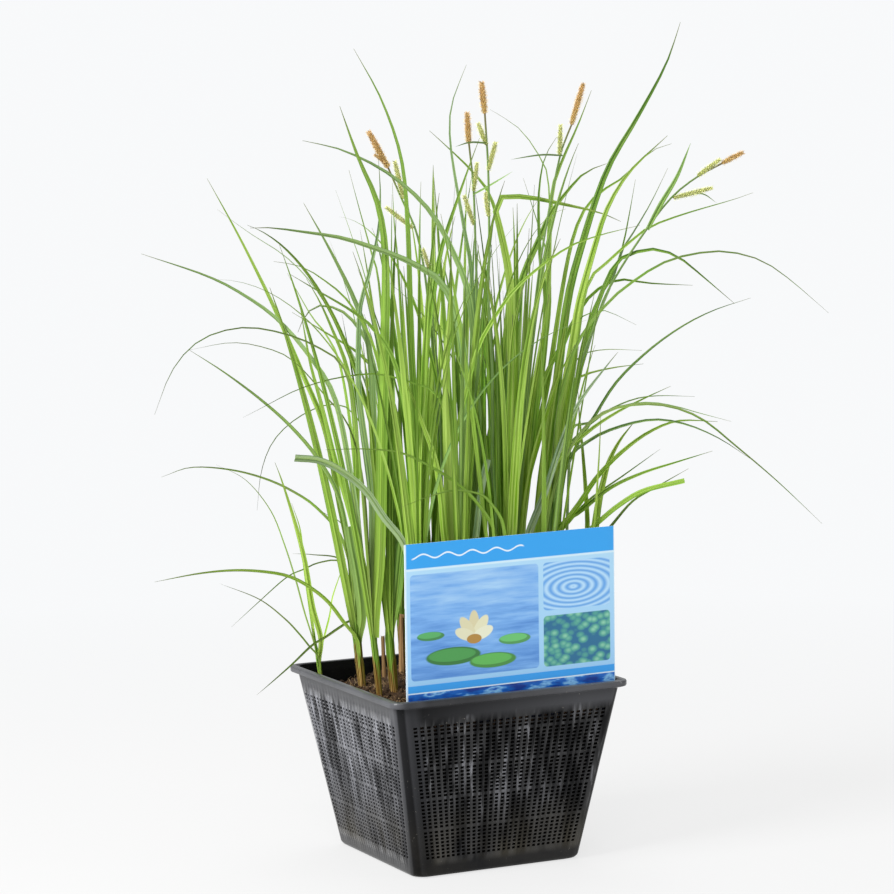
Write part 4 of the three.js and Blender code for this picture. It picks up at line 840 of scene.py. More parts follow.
for k, shoot in enumerate(SHOOTS):
    parts = Parts()
    rings, uv, layers = sheath_rings(shoot, k)
    zero = dict(share=0, under=0, tone=0.3, dry=0, seed=k)
    parts.add(rings, rings_to_faces(SHEATH_ROWS, SHEATH_SIDES), uv, sheath=1, layer=layers.ravel(), **zero)
    for n, leaf in enumerate(leaves[k]):
        rings, uv, share = leaf_rings(leaf)
        share = share * (0.7 if leaf["blunt"] else 1)
        dry = HAIR_DRY if leaf["drawn"] in HAIRS else SOME_DRY if n % 7 == 3 else 0
        seed = (k * 7.13 + n * 3.71) % 10
        tones = BROAD if leaf["width"] > BROAD_FROM else THIN if leaf["width"] < THIN_UNDER else MIDDLE
        tone = tone_of.get(leaf["drawn"], tones[int(seed * 7) % 5])
        parts.add(rings, rings_to_faces(STATIONS + 1, len(SECTION)), uv, share=share, tone=tone, sheath=0,
                  under=np.tile(UNDER, STATIONS + 1), dry=dry, seed=seed, layer=0)
    dress(parts.piece(f"leaves_{k + 1:02d}", 42), leaf_finish, "leaf", f"shoot_{k + 1:02d}")
print("shoots dressed", len(SHOOTS))

# %% [markdown]
# ## Flowering stems
#
# The stem of a sedge has three edges. A round tube would not catch the light along its edges, so the
# ring swells three times on its way round. Thin leaves grow from the stem below the spikes.

# %% Lines of the stems
STEM_ROUND, STEM_ROWS, COARSE_STEPS = 12, 48, 9


def foot_point(foot_s, foot_d):
    """The point on the peat at s along the drawing plane and depth d."""
    point = foot_s * ACROSS + foot_d * AWAY
    return point + UP * soil_height(point[0], point[1])


def tube(path, radius, sides, lobes=0, lobe=0.0):
    """Rings round a path; the radius swells lobes times on the way round, by the share lobe."""
    tangent = tangents(path)
    side = square_to(tangent, ACROSS)
    angle = circle(sides)
    reach = np.broadcast_to(radius, len(path))[:, None] * (1 + lobe * (np.cos(lobes * angle) - 1) / 2)
    return rings_round(path, side, np.cross(tangent, side), reach * np.cos(angle), reach * np.sin(angle))


def stem_line(stem, steps):
    """Root, then equal steps along the stem's smooth path."""
    foot_s, foot_d, _, depth, drawn = stem
    foot = foot_point(foot_s, foot_d)
    share = (np.arange(len(drawn)) + 1) / len(drawn)
    path = smooth_path(np.vstack([foot, place(drawn, foot_d + (depth - foot_d) * share)]), UP)
    return np.vstack([foot - ROOT_DEPTH * UP, resample(path, steps)[0]])


def point_at(line, z):
    """The point of a line at a height."""
    above_z = np.nonzero(line[:, 2] > z)[0]
    if len(above_z) == 0 or above_z[0] == 0:
        return line[-1]
    low, high = line[above_z[0] - 1], line[above_z[0]]
    return low + (high - low) * (z - low[2]) / (high[2] - low[2])


coarse_lines = [stem_line(stem, COARSE_STEPS) for stem in STEMS]
print("stems reach", [round(float(line[-1, 2])) for line in coarse_lines])

# %% Finish of the stems
finish = Finish("sedge stem")
around, along = finish.map()
streak = finish.noise((around * 2.2, along * 0.02), detail=2)
colour = finish.ramp(streak, (0.3, (0.055, 0.12, 0.02)), (0.7, (0.22, 0.36, 0.08)))
dead = finish.number("share").above(0.97, 0.03) * streak.above(0.42, 0.15)
colour = finish.mix(dead, colour, (0.14, 0.07, 0.03))
stem_finish = finish.done(Base_Color=colour, Roughness=0.45, Normal=finish.bump(streak, 0.0002, 0.6))
print("stem finish has", len(finish.tree.nodes), "nodes")

# %% Stems and their thin leaves
for n, stem in enumerate(STEMS):
    parts = Parts()
    line = stem_line(stem, STEM_ROWS)
    share = np.concatenate([[0], (1 + COARSE_STEPS * np.linspace(0, 1, STEM_ROWS + 1)) / (COARSE_STEPS + 1)])
    radius = stem[2] * (1 - 0.45 * share**1.5)
    rings = tube(line, radius, STEM_ROUND, lobes=3, lobe=0.36)
    uv = uv_map(circle(STEM_ROUND) * stem[2], lengths(line)[:, None])
    parts.add(rings, rings_to_faces(len(line), STEM_ROUND), uv, share=np.repeat(share, STEM_ROUND))
    for number, width, turn, depth, drawn in BRACTS:
        if number != n + 1:
            continue
        start = point_at(coarse_lines[n], place(drawn[0], depth)[2])
        way = np.arange(1, len(drawn)) / (len(drawn) - 1)
        points = place(drawn[1:], start @ AWAY + (depth - start @ AWAY) * way)
        path = smooth_path(np.vstack([start, points]), unit(points[0] - start))
        rings, uv, share = leaf_rings(leaf_of(path, width, turn, 0, plane_hinge(path)))
        parts.add(rings, rings_to_faces(STATIONS + 1, len(SECTION)), uv, share=0.4 * share)
    dress(parts.piece(f"stem_{n + 1}", 50), stem_finish, "stem", f"flower_stem_{n + 1}")
print("stems dressed", len(STEMS))

# %% [markdown]
# ## Flower spikes
#
# A spike is a core with scales set in a spiral, each a golden angle on from the last, like the seeds of
# a sunflower. The male spikes are covered in fine yellow anthers over brown scales; the female ones in
# green flasks with a dark scale and pale threads. A bump map would leave the outline smooth, so each
# scale and thread is a small closed solid of its own.

# %% Scales and threads
GOLDEN = np.pi * (3 - 5**0.5)
SCALE_FACES = np.array([(0, 2, 1), (0, 3, 2), (0, 4, 3), (0, 1, 4),
                        (5, 1, 2), (5, 2, 3), (5, 3, 4), (5, 4, 1)])
THREAD_FACES = np.array([(0, 2, 1), (0, 3, 2), (0, 1, 3), (4, 1, 2), (4, 2, 3), (4, 3, 1)])


def many(shapes, *faces):
    """Points and faces of shapes (count, points, 3) that all have the same faces."""
    count, points = shapes.shape[:2]
    first = points * np.arange(count)[:, None, None]
    return shapes.reshape(-1, 3), [(own[None] + first).reshape(-1, own.shape[1]) for own in faces]


def spindles(base, ahead, length, belly, ring):
    """Solids that run from base along ahead to a point, with a ring at the share belly of their length."""
    middle = base + ahead * (belly * length)[:, None]
    return np.stack([base, *(middle + off for off in ring), base + ahead * length[:, None]], 1)


def scale_shapes(base, out, up, length, width, lift):
    """Pointed scales on the core, which point between up and out."""
    ahead = unit(up * (1 - lift)[:, None] + out * lift[:, None])
    wide = unit(np.cross(ahead, out))
    rise = np.cross(wide, ahead)
    width = width[:, None]
    ring = [width * (k * wide + m * rise) for k, m in ((1, 0), (0, 0.75), (-1, 0), (0, -0.55))]
    return spindles(base, ahead, length, 0.4, ring)


def thread_shapes(base, ahead, length, thick):
    """Fine threads: long three-sided spindles."""
    one = unit(np.cross(ahead, UP + 0.3 * ACROSS))
    two = np.cross(ahead, one)
    ring = [thick * (np.cos(a) * one + np.sin(a) * two) for a in circle(3)]
    return spindles(base, ahead, length, 0.55, ring)


# %% Finish of the spikes
def spike_finish(name, ground, scale, tip, thread, foot):
    """kind: 0 core, 1 scale, 2 thread. way: 0 at the foot of a scale and 1 at its tip. The scales of the
    spike's lower half are tinted with foot."""
    finish = Finish(name)
    kind, way, vary = finish.number("kind"), finish.number("way"), finish.number("vary")
    mottle = finish.noise(finish.place()[0], 900.0, 2)
    body = finish.over(
        scale,
        (way.above(0.55, 0.3), tip),
        (finish.number("rise").under(0.4, 0.3) * 0.6, foot),
        (vary.above(0.74, 0.05), ground))
    grey = 0.72 + mottle * 0.55
    colour = finish.over(
        ground,
        (kind.above(0.5, 0.1), body),
        (kind.above(1.5, 0.1), thread),
        (1.0, finish.node("CombineColor", sockets={0: grey, 1: grey, 2: grey}), "MULTIPLY"))
    return finish.done((0.45, thread), Base_Color=colour, Roughness=0.75, Specular_IOR_Level=0.2)


SPIKE_LOOKS = {
    "male": spike_finish("male spike", ground=(0.26, 0.15, 0.05), scale=(0.62, 0.38, 0.16),
                         tip=(0.80, 0.56, 0.28), thread=(0.92, 0.78, 0.48), foot=(0.55, 0.52, 0.14)),
    "female": spike_finish("female spike", ground=(0.20, 0.22, 0.04), scale=(0.66, 0.72, 0.20),
                           tip=(0.96, 0.95, 0.46), thread=(0.98, 0.98, 0.72), foot=(0.50, 0.60, 0.12)),
}

# %% Spikes
CORE_ROWS, CORE_SIDES, CORE_THICKNESS = 14, 10, 0.6
SCALES_PER_AREA, THREADS_PER_SCALE, THREAD_THICKNESS = 2.1, 1.6, 0.11


def bulge(share, foot, first, length):
    """How far the spike swells at a share of its length, from foot to 1, by a sine to the power 0.6."""
    return foot + (1 - foot) * np.sin(np.pi * (first + length * share)) ** 0.6


for n, (kind, number, foot_s, foot_z, tip_s, tip_z, radius) in enumerate(SPIKES):
    rng = np.random.default_rng(100 + n)
    depth = point_at(coarse_lines[number - 1], place([foot_s, foot_z], 0)[2]) @ AWAY
    low, high = place([foot_s, foot_z], depth), place([tip_s, tip_z], depth)
    length = np.linalg.norm(high - low)
    axis = (high - low) / length
    side = unit(np.cross(AWAY, axis))
    back = np.cross(axis, side)
    parts = Parts()
    share = np.linspace(0, 1, CORE_ROWS)
    thick = CORE_THICKNESS * radius * bulge(share, 0.3, 0.08, 0.86)
    core = tube(low + axis * (share * length)[:, None], thick, CORE_SIDES)
    parts.add(core, rings_to_faces(CORE_ROWS, CORE_SIDES), kind=0, way=0, vary=0, rise=0.5)

    count = int(length * radius * SCALES_PER_AREA)
    share = (np.arange(count) + 0.5) / count
    body = radius * bulge(share, 0.34, 0.14, 0.8)
    spin = GOLDEN * np.arange(count)[:, None]
    out = np.cos(spin) * side + np.sin(spin) * back
    base = low + axis * (share * length)[:, None] + out * (0.55 * body)[:, None]
    size = radius * (0.5 + 0.2 * rng.random(count))
    scales = scale_shapes(base, out, axis, size, 0.24 * size, 0.34 + 0.2 * rng.random(count))
    parts.add(*many(scales, SCALE_FACES), kind=1, way=np.tile([0, 0.4, 0.4, 0.4, 0.4, 1], count),
              vary=np.repeat(rng.random(count), 6), rise=np.repeat(share, 6))

    threads = int(count * THREADS_PER_SCALE)
    pick = rng.integers(0, count, threads)
    ahead = unit(out[pick] + 0.6 * axis + 0.7 * rng.normal(size=(threads, 3)))
    base = base[pick] + out[pick] * (0.3 * body[pick])[:, None]
    shapes = thread_shapes(base, ahead, 0.9 + 0.9 * rng.random(threads), THREAD_THICKNESS)
    parts.add(*many(shapes, THREAD_FACES), kind=2, way=0.5, vary=0, rise=0.5)
    spike = parts.piece(f"spike_{n + 1:02d}", 60)
    dress(spike, SPIKE_LOOKS[kind], f"{kind}_spike", f"{kind}_spike_{n + 1:02d}")
print("spikes dressed", len(SPIKES))

# %% [markdown]
# ## Cut stems
#
# Two dead stems stand cut off at the left. They are dry tubes whose walls have split into strips, so
# the ring is ribbed and its top edge is ragged.

# %% Cut stems
finish = Finish("dry stem")
around, along = finish.map()
streak = finish.noise((around * 1.6, along * 0.03), detail=4, rough=0.6)
colour = finish.ramp(streak, (0.28, (0.07, 0.035, 0.015)), (0.5, (0.26, 0.14, 0.05)),
                     (0.72, (0.48, 0.33, 0.15)))
dry_finish = finish.done(Base_Color=colour, Roughness=0.85, Normal=finish.bump(streak, 0.0006, 0.9))
STUB_SIDES, STUB_ROWS = 22, 26
for n, (foot_s, foot_d, radius, top_s, top_z) in enumerate(CUT_STEMS):
    foot = foot_point(foot_s, foot_d)
    knots = np.stack([foot - ROOT_DEPTH * UP, foot, place([top_s, top_z], foot_d)])
    line, length = resample(knots, STUB_ROWS - 1)
    share = np.linspace(0, 1, STUB_ROWS)
    rings = tube(line, radius * (1 - 0.15 * share), STUB_SIDES, lobes=7, lobe=0.12)
    angle = circle(STUB_SIDES)
    rings[:, :, :2] += 0.06 * radius * np.sin(5 * angle + 6 * share[:, None])[..., None]
    rings[-1] += UP * (1.6 * np.sin(3 * angle + n) - 1.6)[:, None]
    parts = Parts()
    parts.add(rings, rings_to_faces(STUB_ROWS, STUB_SIDES), uv_map(angle * radius, (share * length)[:, None]))
    dress(parts.piece(f"stub_{n + 1}", 60), dry_finish, "dead_stem", f"cut_stem_{n + 1}")
print("cut stems dressed", len(CUT_STEMS))

# %% [markdown]
# ## Basket
#
# The basket is moulded black plastic. Its walls are a fine mesh: upright ribs with short level bars
# between them, in bands of eight rows with a stronger bar between the bands. Holes that are painted on
# would show no thickness and let no light through, so the wall is one grid, wrapped round the tub as an
# outer and an inner skin. Where there is a hole both skins lack a face, and four small faces join them.

# %% Columns and rows of the wall
WALL_HALF_BASE, WALL_HALF_TOP, BASKET_HEIGHT, RIM_HALF, WALL = 68.6, 92.9, 136.5, 96.6, 1.8
CORNER_RADIUS, CORNER_STEPS, PANEL_EDGE = 9, 6, 9.2
HOLE_COLUMNS, HOLE_SHARE = 30, 0.6
ROW_GROUPS, ROW_PITCH, HOLE_HEIGHT, GROUP_GAP, PANEL_TOP = (8, 8, 8, 8, 3), 2.8, 1.8, 1.3, 117.5
RIB, WAVE, WALL_LEAN = 0.55, 0.22, 0.178


def wall_half(z):
    """Half the width of the tub at a height."""
    return WALL_HALF_BASE + (WALL_HALF_TOP - WALL_HALF_BASE) * z / BASKET_HEIGHT


# Along a wall: a rib crest at the middle of each bar, and a hole between two bars.
pitch = 2 / HOLE_COLUMNS
left_edges = -1 + pitch * (np.arange(HOLE_COLUMNS) + (1 - HOLE_SHARE) / 2)
along_wall = np.concatenate([[-1], np.stack([left_edges, left_edges + HOLE_SHARE * pitch,
                                             -1 + pitch * (np.arange(HOLE_COLUMNS) + 1)], -1).ravel()])
is_crest = np.arange(len(along_wall)) % 3 == 0
hole_column = np.nonzero(np.arange(len(along_wall)) % 3 == 1)[0]
arc = np.arange(CORNER_STEPS + 1) / CORNER_STEPS * np.pi / 2
SIDE_COLUMNS = len(along_wall) + CORNER_STEPS + 1
COLUMNS = 4 * SIDE_COLUMNS

hole_bottoms, z = [], PANEL_TOP - sum(ROW_GROUPS) * ROW_PITCH - (len(ROW_GROUPS) - 1) * GROUP_GAP
for count in ROW_GROUPS:
    hole_bottoms += [z + ROW_PITCH * n for n in range(count)]
    z += ROW_PITCH * count + GROUP_GAP
hole_bottoms = np.array(hole_bottoms)
hole_rows = np.stack([hole_bottoms, hole_bottoms + HOLE_HEIGHT], -1).ravel()
print("hole rows", len(hole_bottoms), "from", round(hole_bottoms[0], 1), "columns a side", HOLE_COLUMNS)

# %% The skins
QUARTER_TURN = np.array([[0, 1], [-1, 0]])


def ring_of(half, z, inward=0.0, ribs=0.0, wave=0.0):
    """One level ring of the wall, column by column, with the panel's ribs and waves stood off it."""
    local = along_wall * (half - PANEL_EDGE)
    fade = np.clip((1 - np.abs(along_wall)) * 8, 0, 1)
    off = ribs * RIB * is_crest * (np.abs(along_wall) < 1)
    swing = np.sin(local / 3.9 + 1.1) + 0.7 * np.sin(local / 2.1 + z / 31) + 0.8 * np.sin(local / 9.5 + 2)
    off = off + wave * WAVE * fade * swing - inward
    middle, reach = half - CORNER_RADIUS, CORNER_RADIUS - inward
    panel = np.stack([local, -half - off], -1)
    corner = np.stack([middle + reach * np.sin(arc), -middle - reach * np.cos(arc)], -1)
    sides = [np.concatenate([panel, corner])]
    for _ in range(3):
        sides.append(sides[-1] @ QUARTER_TURN)
    flat = np.concatenate(sides)
    return np.column_stack([flat, np.full(len(flat), z)])


TOP_BAND = [121.5, 126, 130, 131.3]
LIP = [(95.2, 131.6), (96.3, 132.1), (RIM_HALF, 133), (RIM_HALF, 135.4), (96.3, 136.2), (95.6, BASKET_HEIGHT),
       (92.1, BASKET_HEIGHT), (91.3, 136.2)]
BASE = [(20, 0), (45, 0), (WALL_HALF_BASE - 3, 0), (wall_half(0.9) - 1.2, 0.7), (wall_half(2.2) - 0.2, 2.2),
        (wall_half(3.4), 3.4)]
BASE_INSIDE = [(wall_half(9), 9), (wall_half(3), 3)]
outer = [ring_of(half, z) for half, z in BASE] + [ring_of(wall_half(8), 8, wave=0.3)]
first_hole_ring = len(outer)
outer += [ring_of(wall_half(z), z, ribs=1, wave=1) for z in hole_rows]
outer += [ring_of(wall_half(z), z, ribs=0.35 * (z < 125), wave=0.4 if z < 125 else 0.1) for z in TOP_BAND]
outer += [ring_of(half, z) for half, z in LIP]
inner = [ring_of(wall_half(z), z, inward=WALL, wave=0.6 if z < 125 else 0.1) for z in TOP_BAND[::-1]]
inner_hole_ring = len(outer) + len(inner)
inner += [ring_of(wall_half(z), z, inward=WALL, wave=1) for z in hole_rows[::-1]]
inner += [ring_of(half, z, inward=WALL) for half, z in BASE_INSIDE]
inner += [ring_of(half, WALL) for half in (wall_half(2) - 3, 45, 20)]
rings = np.stack(outer + inner)

quads, ends = rings_to_faces(len(rings), COLUMNS)
quads = quads.reshape(len(rings) - 1, COLUMNS, 4)
columns = (np.arange(4)[:, None] * SIDE_COLUMNS + hole_column).ravel()
holes_out = np.ix_(first_hole_ring + 2 * np.arange(len(hole_bottoms)), columns)
holes_in = np.ix_(inner_hole_ring + 2 * np.arange(len(hole_bottoms))[::-1], columns)
kept = np.ones(quads.shape[:2], bool)
kept[holes_out] = kept[holes_in] = False
a, b, c, d = quads[holes_out].reshape(-1, 4).T
d2, c2, b2, a2 = quads[holes_in].reshape(-1, 4).T
joins = [np.stack(four, -1) for four in ((a, b, b2, a2), (b, c, c2, b2), (c, d, d2, c2), (d, a, a2, d2))]
print("basket rings", len(rings), "columns", COLUMNS, "holes", len(a))

# %% Finish and piece
finish = Finish("black plastic")
spot, (x, y, z) = finish.place()
swell = finish.noise((x * 85, y * 85, z * 4), detail=2)
streaks = finish.noise((x * 260, y * 260, z * 9), detail=2)
clouds = finish.noise(spot, 22.0, 4, 0.6)
grit = finish.noise(spot, 620.0, 2, 0.6)
# Where on the basket: which wall, the smooth front left corner, the mesh, the rim and the inside.
left = (y - x).above(0.0, 0.01) * (x * -1 - y).above(0.0, 0.01)
corner = ((x + y) * -1 - z * (2 * WALL_LEAN) - 0.1212).above(0.0, 0.003)
mesh = z.above(0.01, 0.002) * z.under(0.12, 0.003) * (1 - corner)
gloss = swell.above(0.48, 0.07) * 0.8 + streaks.above(0.54, 0.07) * z.above(0.05, 0.03) * 0.7
rim = z.above(0.1305, 0.0008) * clouds.above(0.42, 0.2)
inside = (x.abs().math("MAXIMUM", y.abs()) - z * WALL_LEAN).under((WALL_HALF_BASE - WALL / 2) / 1000, 0.0003)
right = x.above(-0.01, 0.07) * (1 - left)
# plain is the gloss on the smooth bands. Through shade below, it also paints light into them: lighter on the
# left wall and towards the right.
plain = (1 - mesh) * (1 - corner * 0.3) * (0.05 + left * 0.11 + right * 0.3)
gloss = (gloss * mesh + plain + rim * (0.6 - left * 0.5)) * (1 - inside)
coat = ((gloss * (0.7 + left * 0.3) + left * (0.2 + mesh * 0.25)) * (1 - corner * 0.4) * (1 - inside)).clamp()
behind = y.above(0.0, 0.01) * (1 - left) * (y - x).above(0.0, 0.01)
# Painted highlights: narrow light streaks in the mesh's base colour, where the ribs would catch the light.
# There are fewer on the left and back walls.
painted_glint_streaks = streaks.above(0.6, 0.05) * swell.above(0.5, 0.08) * z.above(0.055, 0.02)
painted_glint_streaks = painted_glint_streaks * mesh * (1 - left * 0.7 - behind * 0.5)
# shade is the plastic's grey with painted light in it: a painted sheen where the gloss pattern runs, painted
# light on the left wall that grows with height, and a painted highlight on the rim top.
shade = 0.004 + clouds * 0.003 + gloss * (0.004 + left * (z * 0.8 + 0.01)) + left * 0.014
shade = shade + painted_glint_streaks * 0.12 + rim * 0.01
# Painted light: the top band is lighter towards the right, with a painted highlight on the upper part of the
# front left corner post.
shade = shade + z.above(0.12, 0.003) * (1 - corner) * right * 0.045 + corner * z.above(0.06, 0.05) * 0.022
# Painted shade: the inside of the tub is darker.
shade = shade * (1 - inside * 0.75)
dirt = (z.under(0.03, 0.025) * clouds.above(0.48, 0.12) * (mesh * 0.45 + 0.15)).clamp()
dust = (grit.above(0.73, 0.03) * clouds.above(0.54, 0.1)).clamp()
# The grey is tinted a little blue, a painted reflection of the blue card.
colour = finish.over(
    finish.node("CombineColor", sockets={0: shade, 1: shade * 1.02, 2: shade * 1.12}),
    (dirt, (0.065, 0.058, 0.042)),
    (dust * 0.6, (0.30, 0.28, 0.24)))
rough = 0.3 + (streaks - 0.5) * mesh * 0.2 + dirt * 0.4
basket_finish = finish.done(Base_Color=colour, Roughness=rough, Specular_IOR_Level=0.08, Coat_Weight=coat,
                            Coat_Roughness=0.2, Normal=finish.bump(clouds, 0.0008, 0.25))
faces = [np.concatenate([quads[kept], *joins]), ends]
basket = make_piece("basket_mesh", rings.reshape(-1, 3), faces, sharp=38)
dress(basket, basket_finish, "basket_plastic", "basket")
print("basket faces", len(basket.data.polygons))

# %% [markdown]
# ## Peat
#
# Peat for water plants is brown and full of fibres. A bumpy surface alone looks like rock. So the
# surface gets crumbs that lie on it, and curved fibres that stick out of it.

# %% The bed
BED_SIDES, BED_RINGS, BED_ROWS, CLEARANCE = 240, 84, 14, 0.4
LUMPS = (1.3, 9, 1), (1.0, 4.2, 2), (0.7, 2.1, 3), (0.35, 1.1, 4)


def lumps(x, y, size, seed):
    """Smooth random height between -1 and 1: a lattice of random numbers, blended between its points."""
    lattice = np.random.default_rng(seed).uniform(-1, 1, (256, 256))
    i, j = np.floor(x / size).astype(int), np.floor(y / size).astype(int)
    u, v = x / size - i, y / size - j
    u, v = u * u * (3 - 2 * u), v * v * (3 - 2 * v)
    pick = lambda a, b: lattice[(i + a) % 256, (j + b) % 256]
    return (pick(0, 0) * (1 - u) + pick(1, 0) * u) * (1 - v) + (pick(0, 1) * (1 - u) + pick(1, 1) * u) * v


def square_outline(half, radius, count):
    """A square with round corners, as count points at even steps of angle."""
    angle = circle(count)
    power = 2 * half / radius
    reach = half / (np.abs(np.cos(angle)) ** power + np.abs(np.sin(angle)) ** power) ** (1 / power)
    return np.stack([reach * np.cos(angle), reach * np.sin(angle)], -1)


def rough_height(x, y):
    """The peat's height with its lumps."""
    return soil_height(x, y) + sum(high * lumps(x, y, size, seed) for high, size, seed in LUMPS)


inner_half = lambda z: wall_half(z) - WALL - CLEARANCE
TOP_HALF = inner_half(SOIL_EDGE - 2)
outline = square_outline(1, 0.1, BED_SIDES)
flat_ring = lambda half, z: np.column_stack([outline * half, np.broadcast_to(z, BED_SIDES)])
levels = np.linspace(WALL + 0.3, SOIL_EDGE - 4, BED_ROWS)
rings = [flat_ring(20, levels[0])] + [flat_ring(inner_half(z), z) for z in levels]
for share in np.linspace(1, 0.012, BED_RINGS):
    height = rough_height(*(outline * TOP_HALF * share).T)
    edge = np.clip((1 - share) / 0.02, 0, 1)
    rings.append(flat_ring(TOP_HALF * share, height * edge + (SOIL_EDGE - 1.5) * (1 - edge)))
parts = Parts()
parts.add(np.stack(rings), rings_to_faces(len(rings), BED_SIDES), tone=0.35)
print("bed rings", len(rings), "points", parts.count)

# %% Crumbs and fibres
CRUMBS, FIBRES = 2600, 900
FIBRE_THICKNESS = [0.5, 1, 1, 1, 1, 0.4]
FIBRE_ROWS = len(FIBRE_THICKNESS)
golden = (1 + 5**0.5) / 2
BALL = unit([(-1, golden, 0), (1, golden, 0), (-1, -golden, 0), (1, -golden, 0),
             (0, -1, golden), (0, 1, golden), (0, -1, -golden), (0, 1, -golden),
             (golden, 0, -1), (golden, 0, 1), (-golden, 0, -1), (-golden, 0, 1)])
BALL_FACES = np.array([(0, 11, 5), (0, 5, 1), (0, 1, 7), (0, 7, 10), (0, 10, 11),
                       (1, 5, 9), (5, 11, 4), (11, 10, 2), (10, 7, 6), (7, 1, 8),
                       (3, 9, 4), (3, 4, 2), (3, 2, 6), (3, 6, 8), (3, 8, 9),
                       (4, 9, 5), (2, 4, 11), (6, 2, 10), (8, 6, 7), (9, 8, 1)])

rng = np.random.default_rng(11)
spot = rng.uniform(-1, 1, (CRUMBS, 2)) * (TOP_HALF - 3)
size = 0.5 + 1.5 * rng.random(CRUMBS) ** 3
centre = np.column_stack([spot, rough_height(spot[:, 0], spot[:, 1]) + 0.3 * size])
stretch = rng.uniform(0.6, 1.4, (CRUMBS, 1, 3)) * size[:, None, None]
dent = rng.uniform(0.8, 1.2, (CRUMBS, 12, 1))
points, faces = many(centre[:, None] + BALL * dent * stretch, BALL_FACES)
parts.add(points, faces, tone=np.repeat(rng.random(CRUMBS), 12))

spot = rng.uniform(-1, 1, (FIBRES, 2)) * (TOP_HALF - 9)
bearing, curl = rng.uniform(0, 2 * np.pi, FIBRES), rng.normal(0, 1.6, FIBRES)
length = 4 + 13 * rng.random(FIBRES) ** 2
lift = 0.5 + 2.6 * rng.random(FIBRES) ** 2
way = np.linspace(0, 1, FIBRE_ROWS)
turn = bearing[:, None] + curl[:, None] * way
step = (length / (FIBRE_ROWS - 1))[:, None]
flat = np.stack([np.cumsum(np.cos(turn) * step, 1), np.cumsum(np.sin(turn) * step, 1)], -1) + spot[:, None]
flat = np.clip(flat, 1 - TOP_HALF, TOP_HALF - 1)
height = rough_height(flat[..., 0], flat[..., 1]) + 0.2 + lift[:, None] * np.sin(np.pi * way)
line = np.concatenate([flat, height[..., None]], -1)
ahead = unit(np.gradient(line, axis=1))
one = unit(np.cross(ahead, UP))
two = np.cross(ahead, one)
thick = (0.13 + 0.17 * rng.random(FIBRES))[:, None] * FIBRE_THICKNESS
angle = circle(3)[:, None]
round_line = np.cos(angle) * one[:, :, None] + np.sin(angle) * two[:, :, None]
rods = line[:, :, None] + thick[:, :, None, None] * round_line
points, faces = many(rods.reshape(FIBRES, -1, 3), *rings_to_faces(FIBRE_ROWS, 3))
parts.add(points, faces, tone=np.repeat(0.75 + 0.5 * rng.random(FIBRES), FIBRE_ROWS * 3))

finish = Finish("peat")
spot, (_, _, high) = finish.place()
fine = finish.noise(spot, 700.0, 4, 0.7)
broad = finish.noise(spot, 60.0, 3)
pick = (finish.number("tone") * 0.55 + (fine - 0.5) * 0.9 + (broad - 0.5) * 0.5 + 0.12).clamp()
colour = finish.ramp(pick, (0.05, (0.010, 0.006, 0.003)), (0.35, (0.036, 0.020, 0.010)),
                     (0.6, (0.095, 0.052, 0.024)), (0.9, (0.32, 0.23, 0.12)))
# Painted shade: below 110.5 mm the peat behind the holes of the wall is near-black, as it lies in the shade
# of the basket.
colour = finish.mix(high.under(0.1105, 0.001), colour, (0.006, 0.004, 0.003))
soil_finish = finish.done(Base_Color=colour, Roughness=0.95, Specular_IOR_Level=0.2,
                          Normal=finish.bump(fine, 0.0012, 0.8))
dress(parts.piece("peat_bed", 70), soil_finish, "peat", "soil")
print("peat points", parts.count)

# %% [markdown]
# ## Card
#
# A plastic card stands in the peat behind the front wall. It is white, printed to near its edges: a
# blue head, a framed picture of a pond, and a dark blue foot. The print is a finish that knows where it
# is on the card: each shape is a test on the distance from the left edge and from the top edge.

# %% Shape of the card
CARD_LEFT, CARD_RIGHT, CARD_TOP, CARD_RISE, CARD_FRONT, CARD_THICK = -81.6, 90, 248.6, 1.8, -84.5, 0.8
FOOT_LEFT, FOOT_RIGHT, SHOULDER, FOOT_BOTTOM = -74, 79, 134.5, 108
CARD_COLUMNS, CARD_ROWS, EDGE_ROUND = 36, 30, 0.15

levels = np.concatenate([[FOOT_BOTTOM], np.linspace(SHOULDER, CARD_TOP, CARD_ROWS)])
left = np.interp(levels, [FOOT_BOTTOM, SHOULDER], [FOOT_LEFT, CARD_LEFT])[:, None]
right = np.interp(levels, [FOOT_BOTTOM, SHOULDER], [FOOT_RIGHT, CARD_RIGHT])[:, None]
share = np.linspace(0, 1, CARD_COLUMNS)
x = left + (right - left) * share
z = levels[:, None] + CARD_RISE * share * (np.arange(len(levels)) / (len(levels) - 1))[:, None]
inset = EDGE_ROUND * ((share < 1e-6) | (share > 1 - 1e-6))
front, behind = [np.stack([x, np.broadcast_to(y, x.shape), z], -1)
                 for y in (CARD_FRONT + inset, CARD_FRONT + CARD_THICK - inset)]
rings = np.concatenate([front, behind[:, ::-1]], 1)
faces = rings_to_faces(len(levels), 2 * CARD_COLUMNS)
card = make_piece("printed_sheet", rings.reshape(-1, 3), faces, sharp=40)
print("card rings", rings.shape[:2])

# %% Print on the card
WIDE, SOFT = CARD_RIGHT - CARD_LEFT, 0.25
HEAD, FRAME_TOP, FRAME_FOOT, STRIPE_FOOT, PEAT_LINE = 18.0, 19.6, 103.0, 109.0, 129
PADS = ((38, 84, 22, 6.5, (0.05, 0.20, 0.05)), (70, 90, 19, 5.5, (0.08, 0.28, 0.06)),
        (88, 76, 13, 4, (0.10, 0.33, 0.10)), (20, 68, 11, 3.2, (0.07, 0.26, 0.08)))
PETALS = ((0, 17, (0.78, 0.66, 0.40)), (35, 16, (0.86, 0.78, 0.52)), (-35, 16, (0.80, 0.70, 0.44)),
          (68, 14, (0.90, 0.84, 0.62)), (-68, 14, (0.84, 0.76, 0.52)))

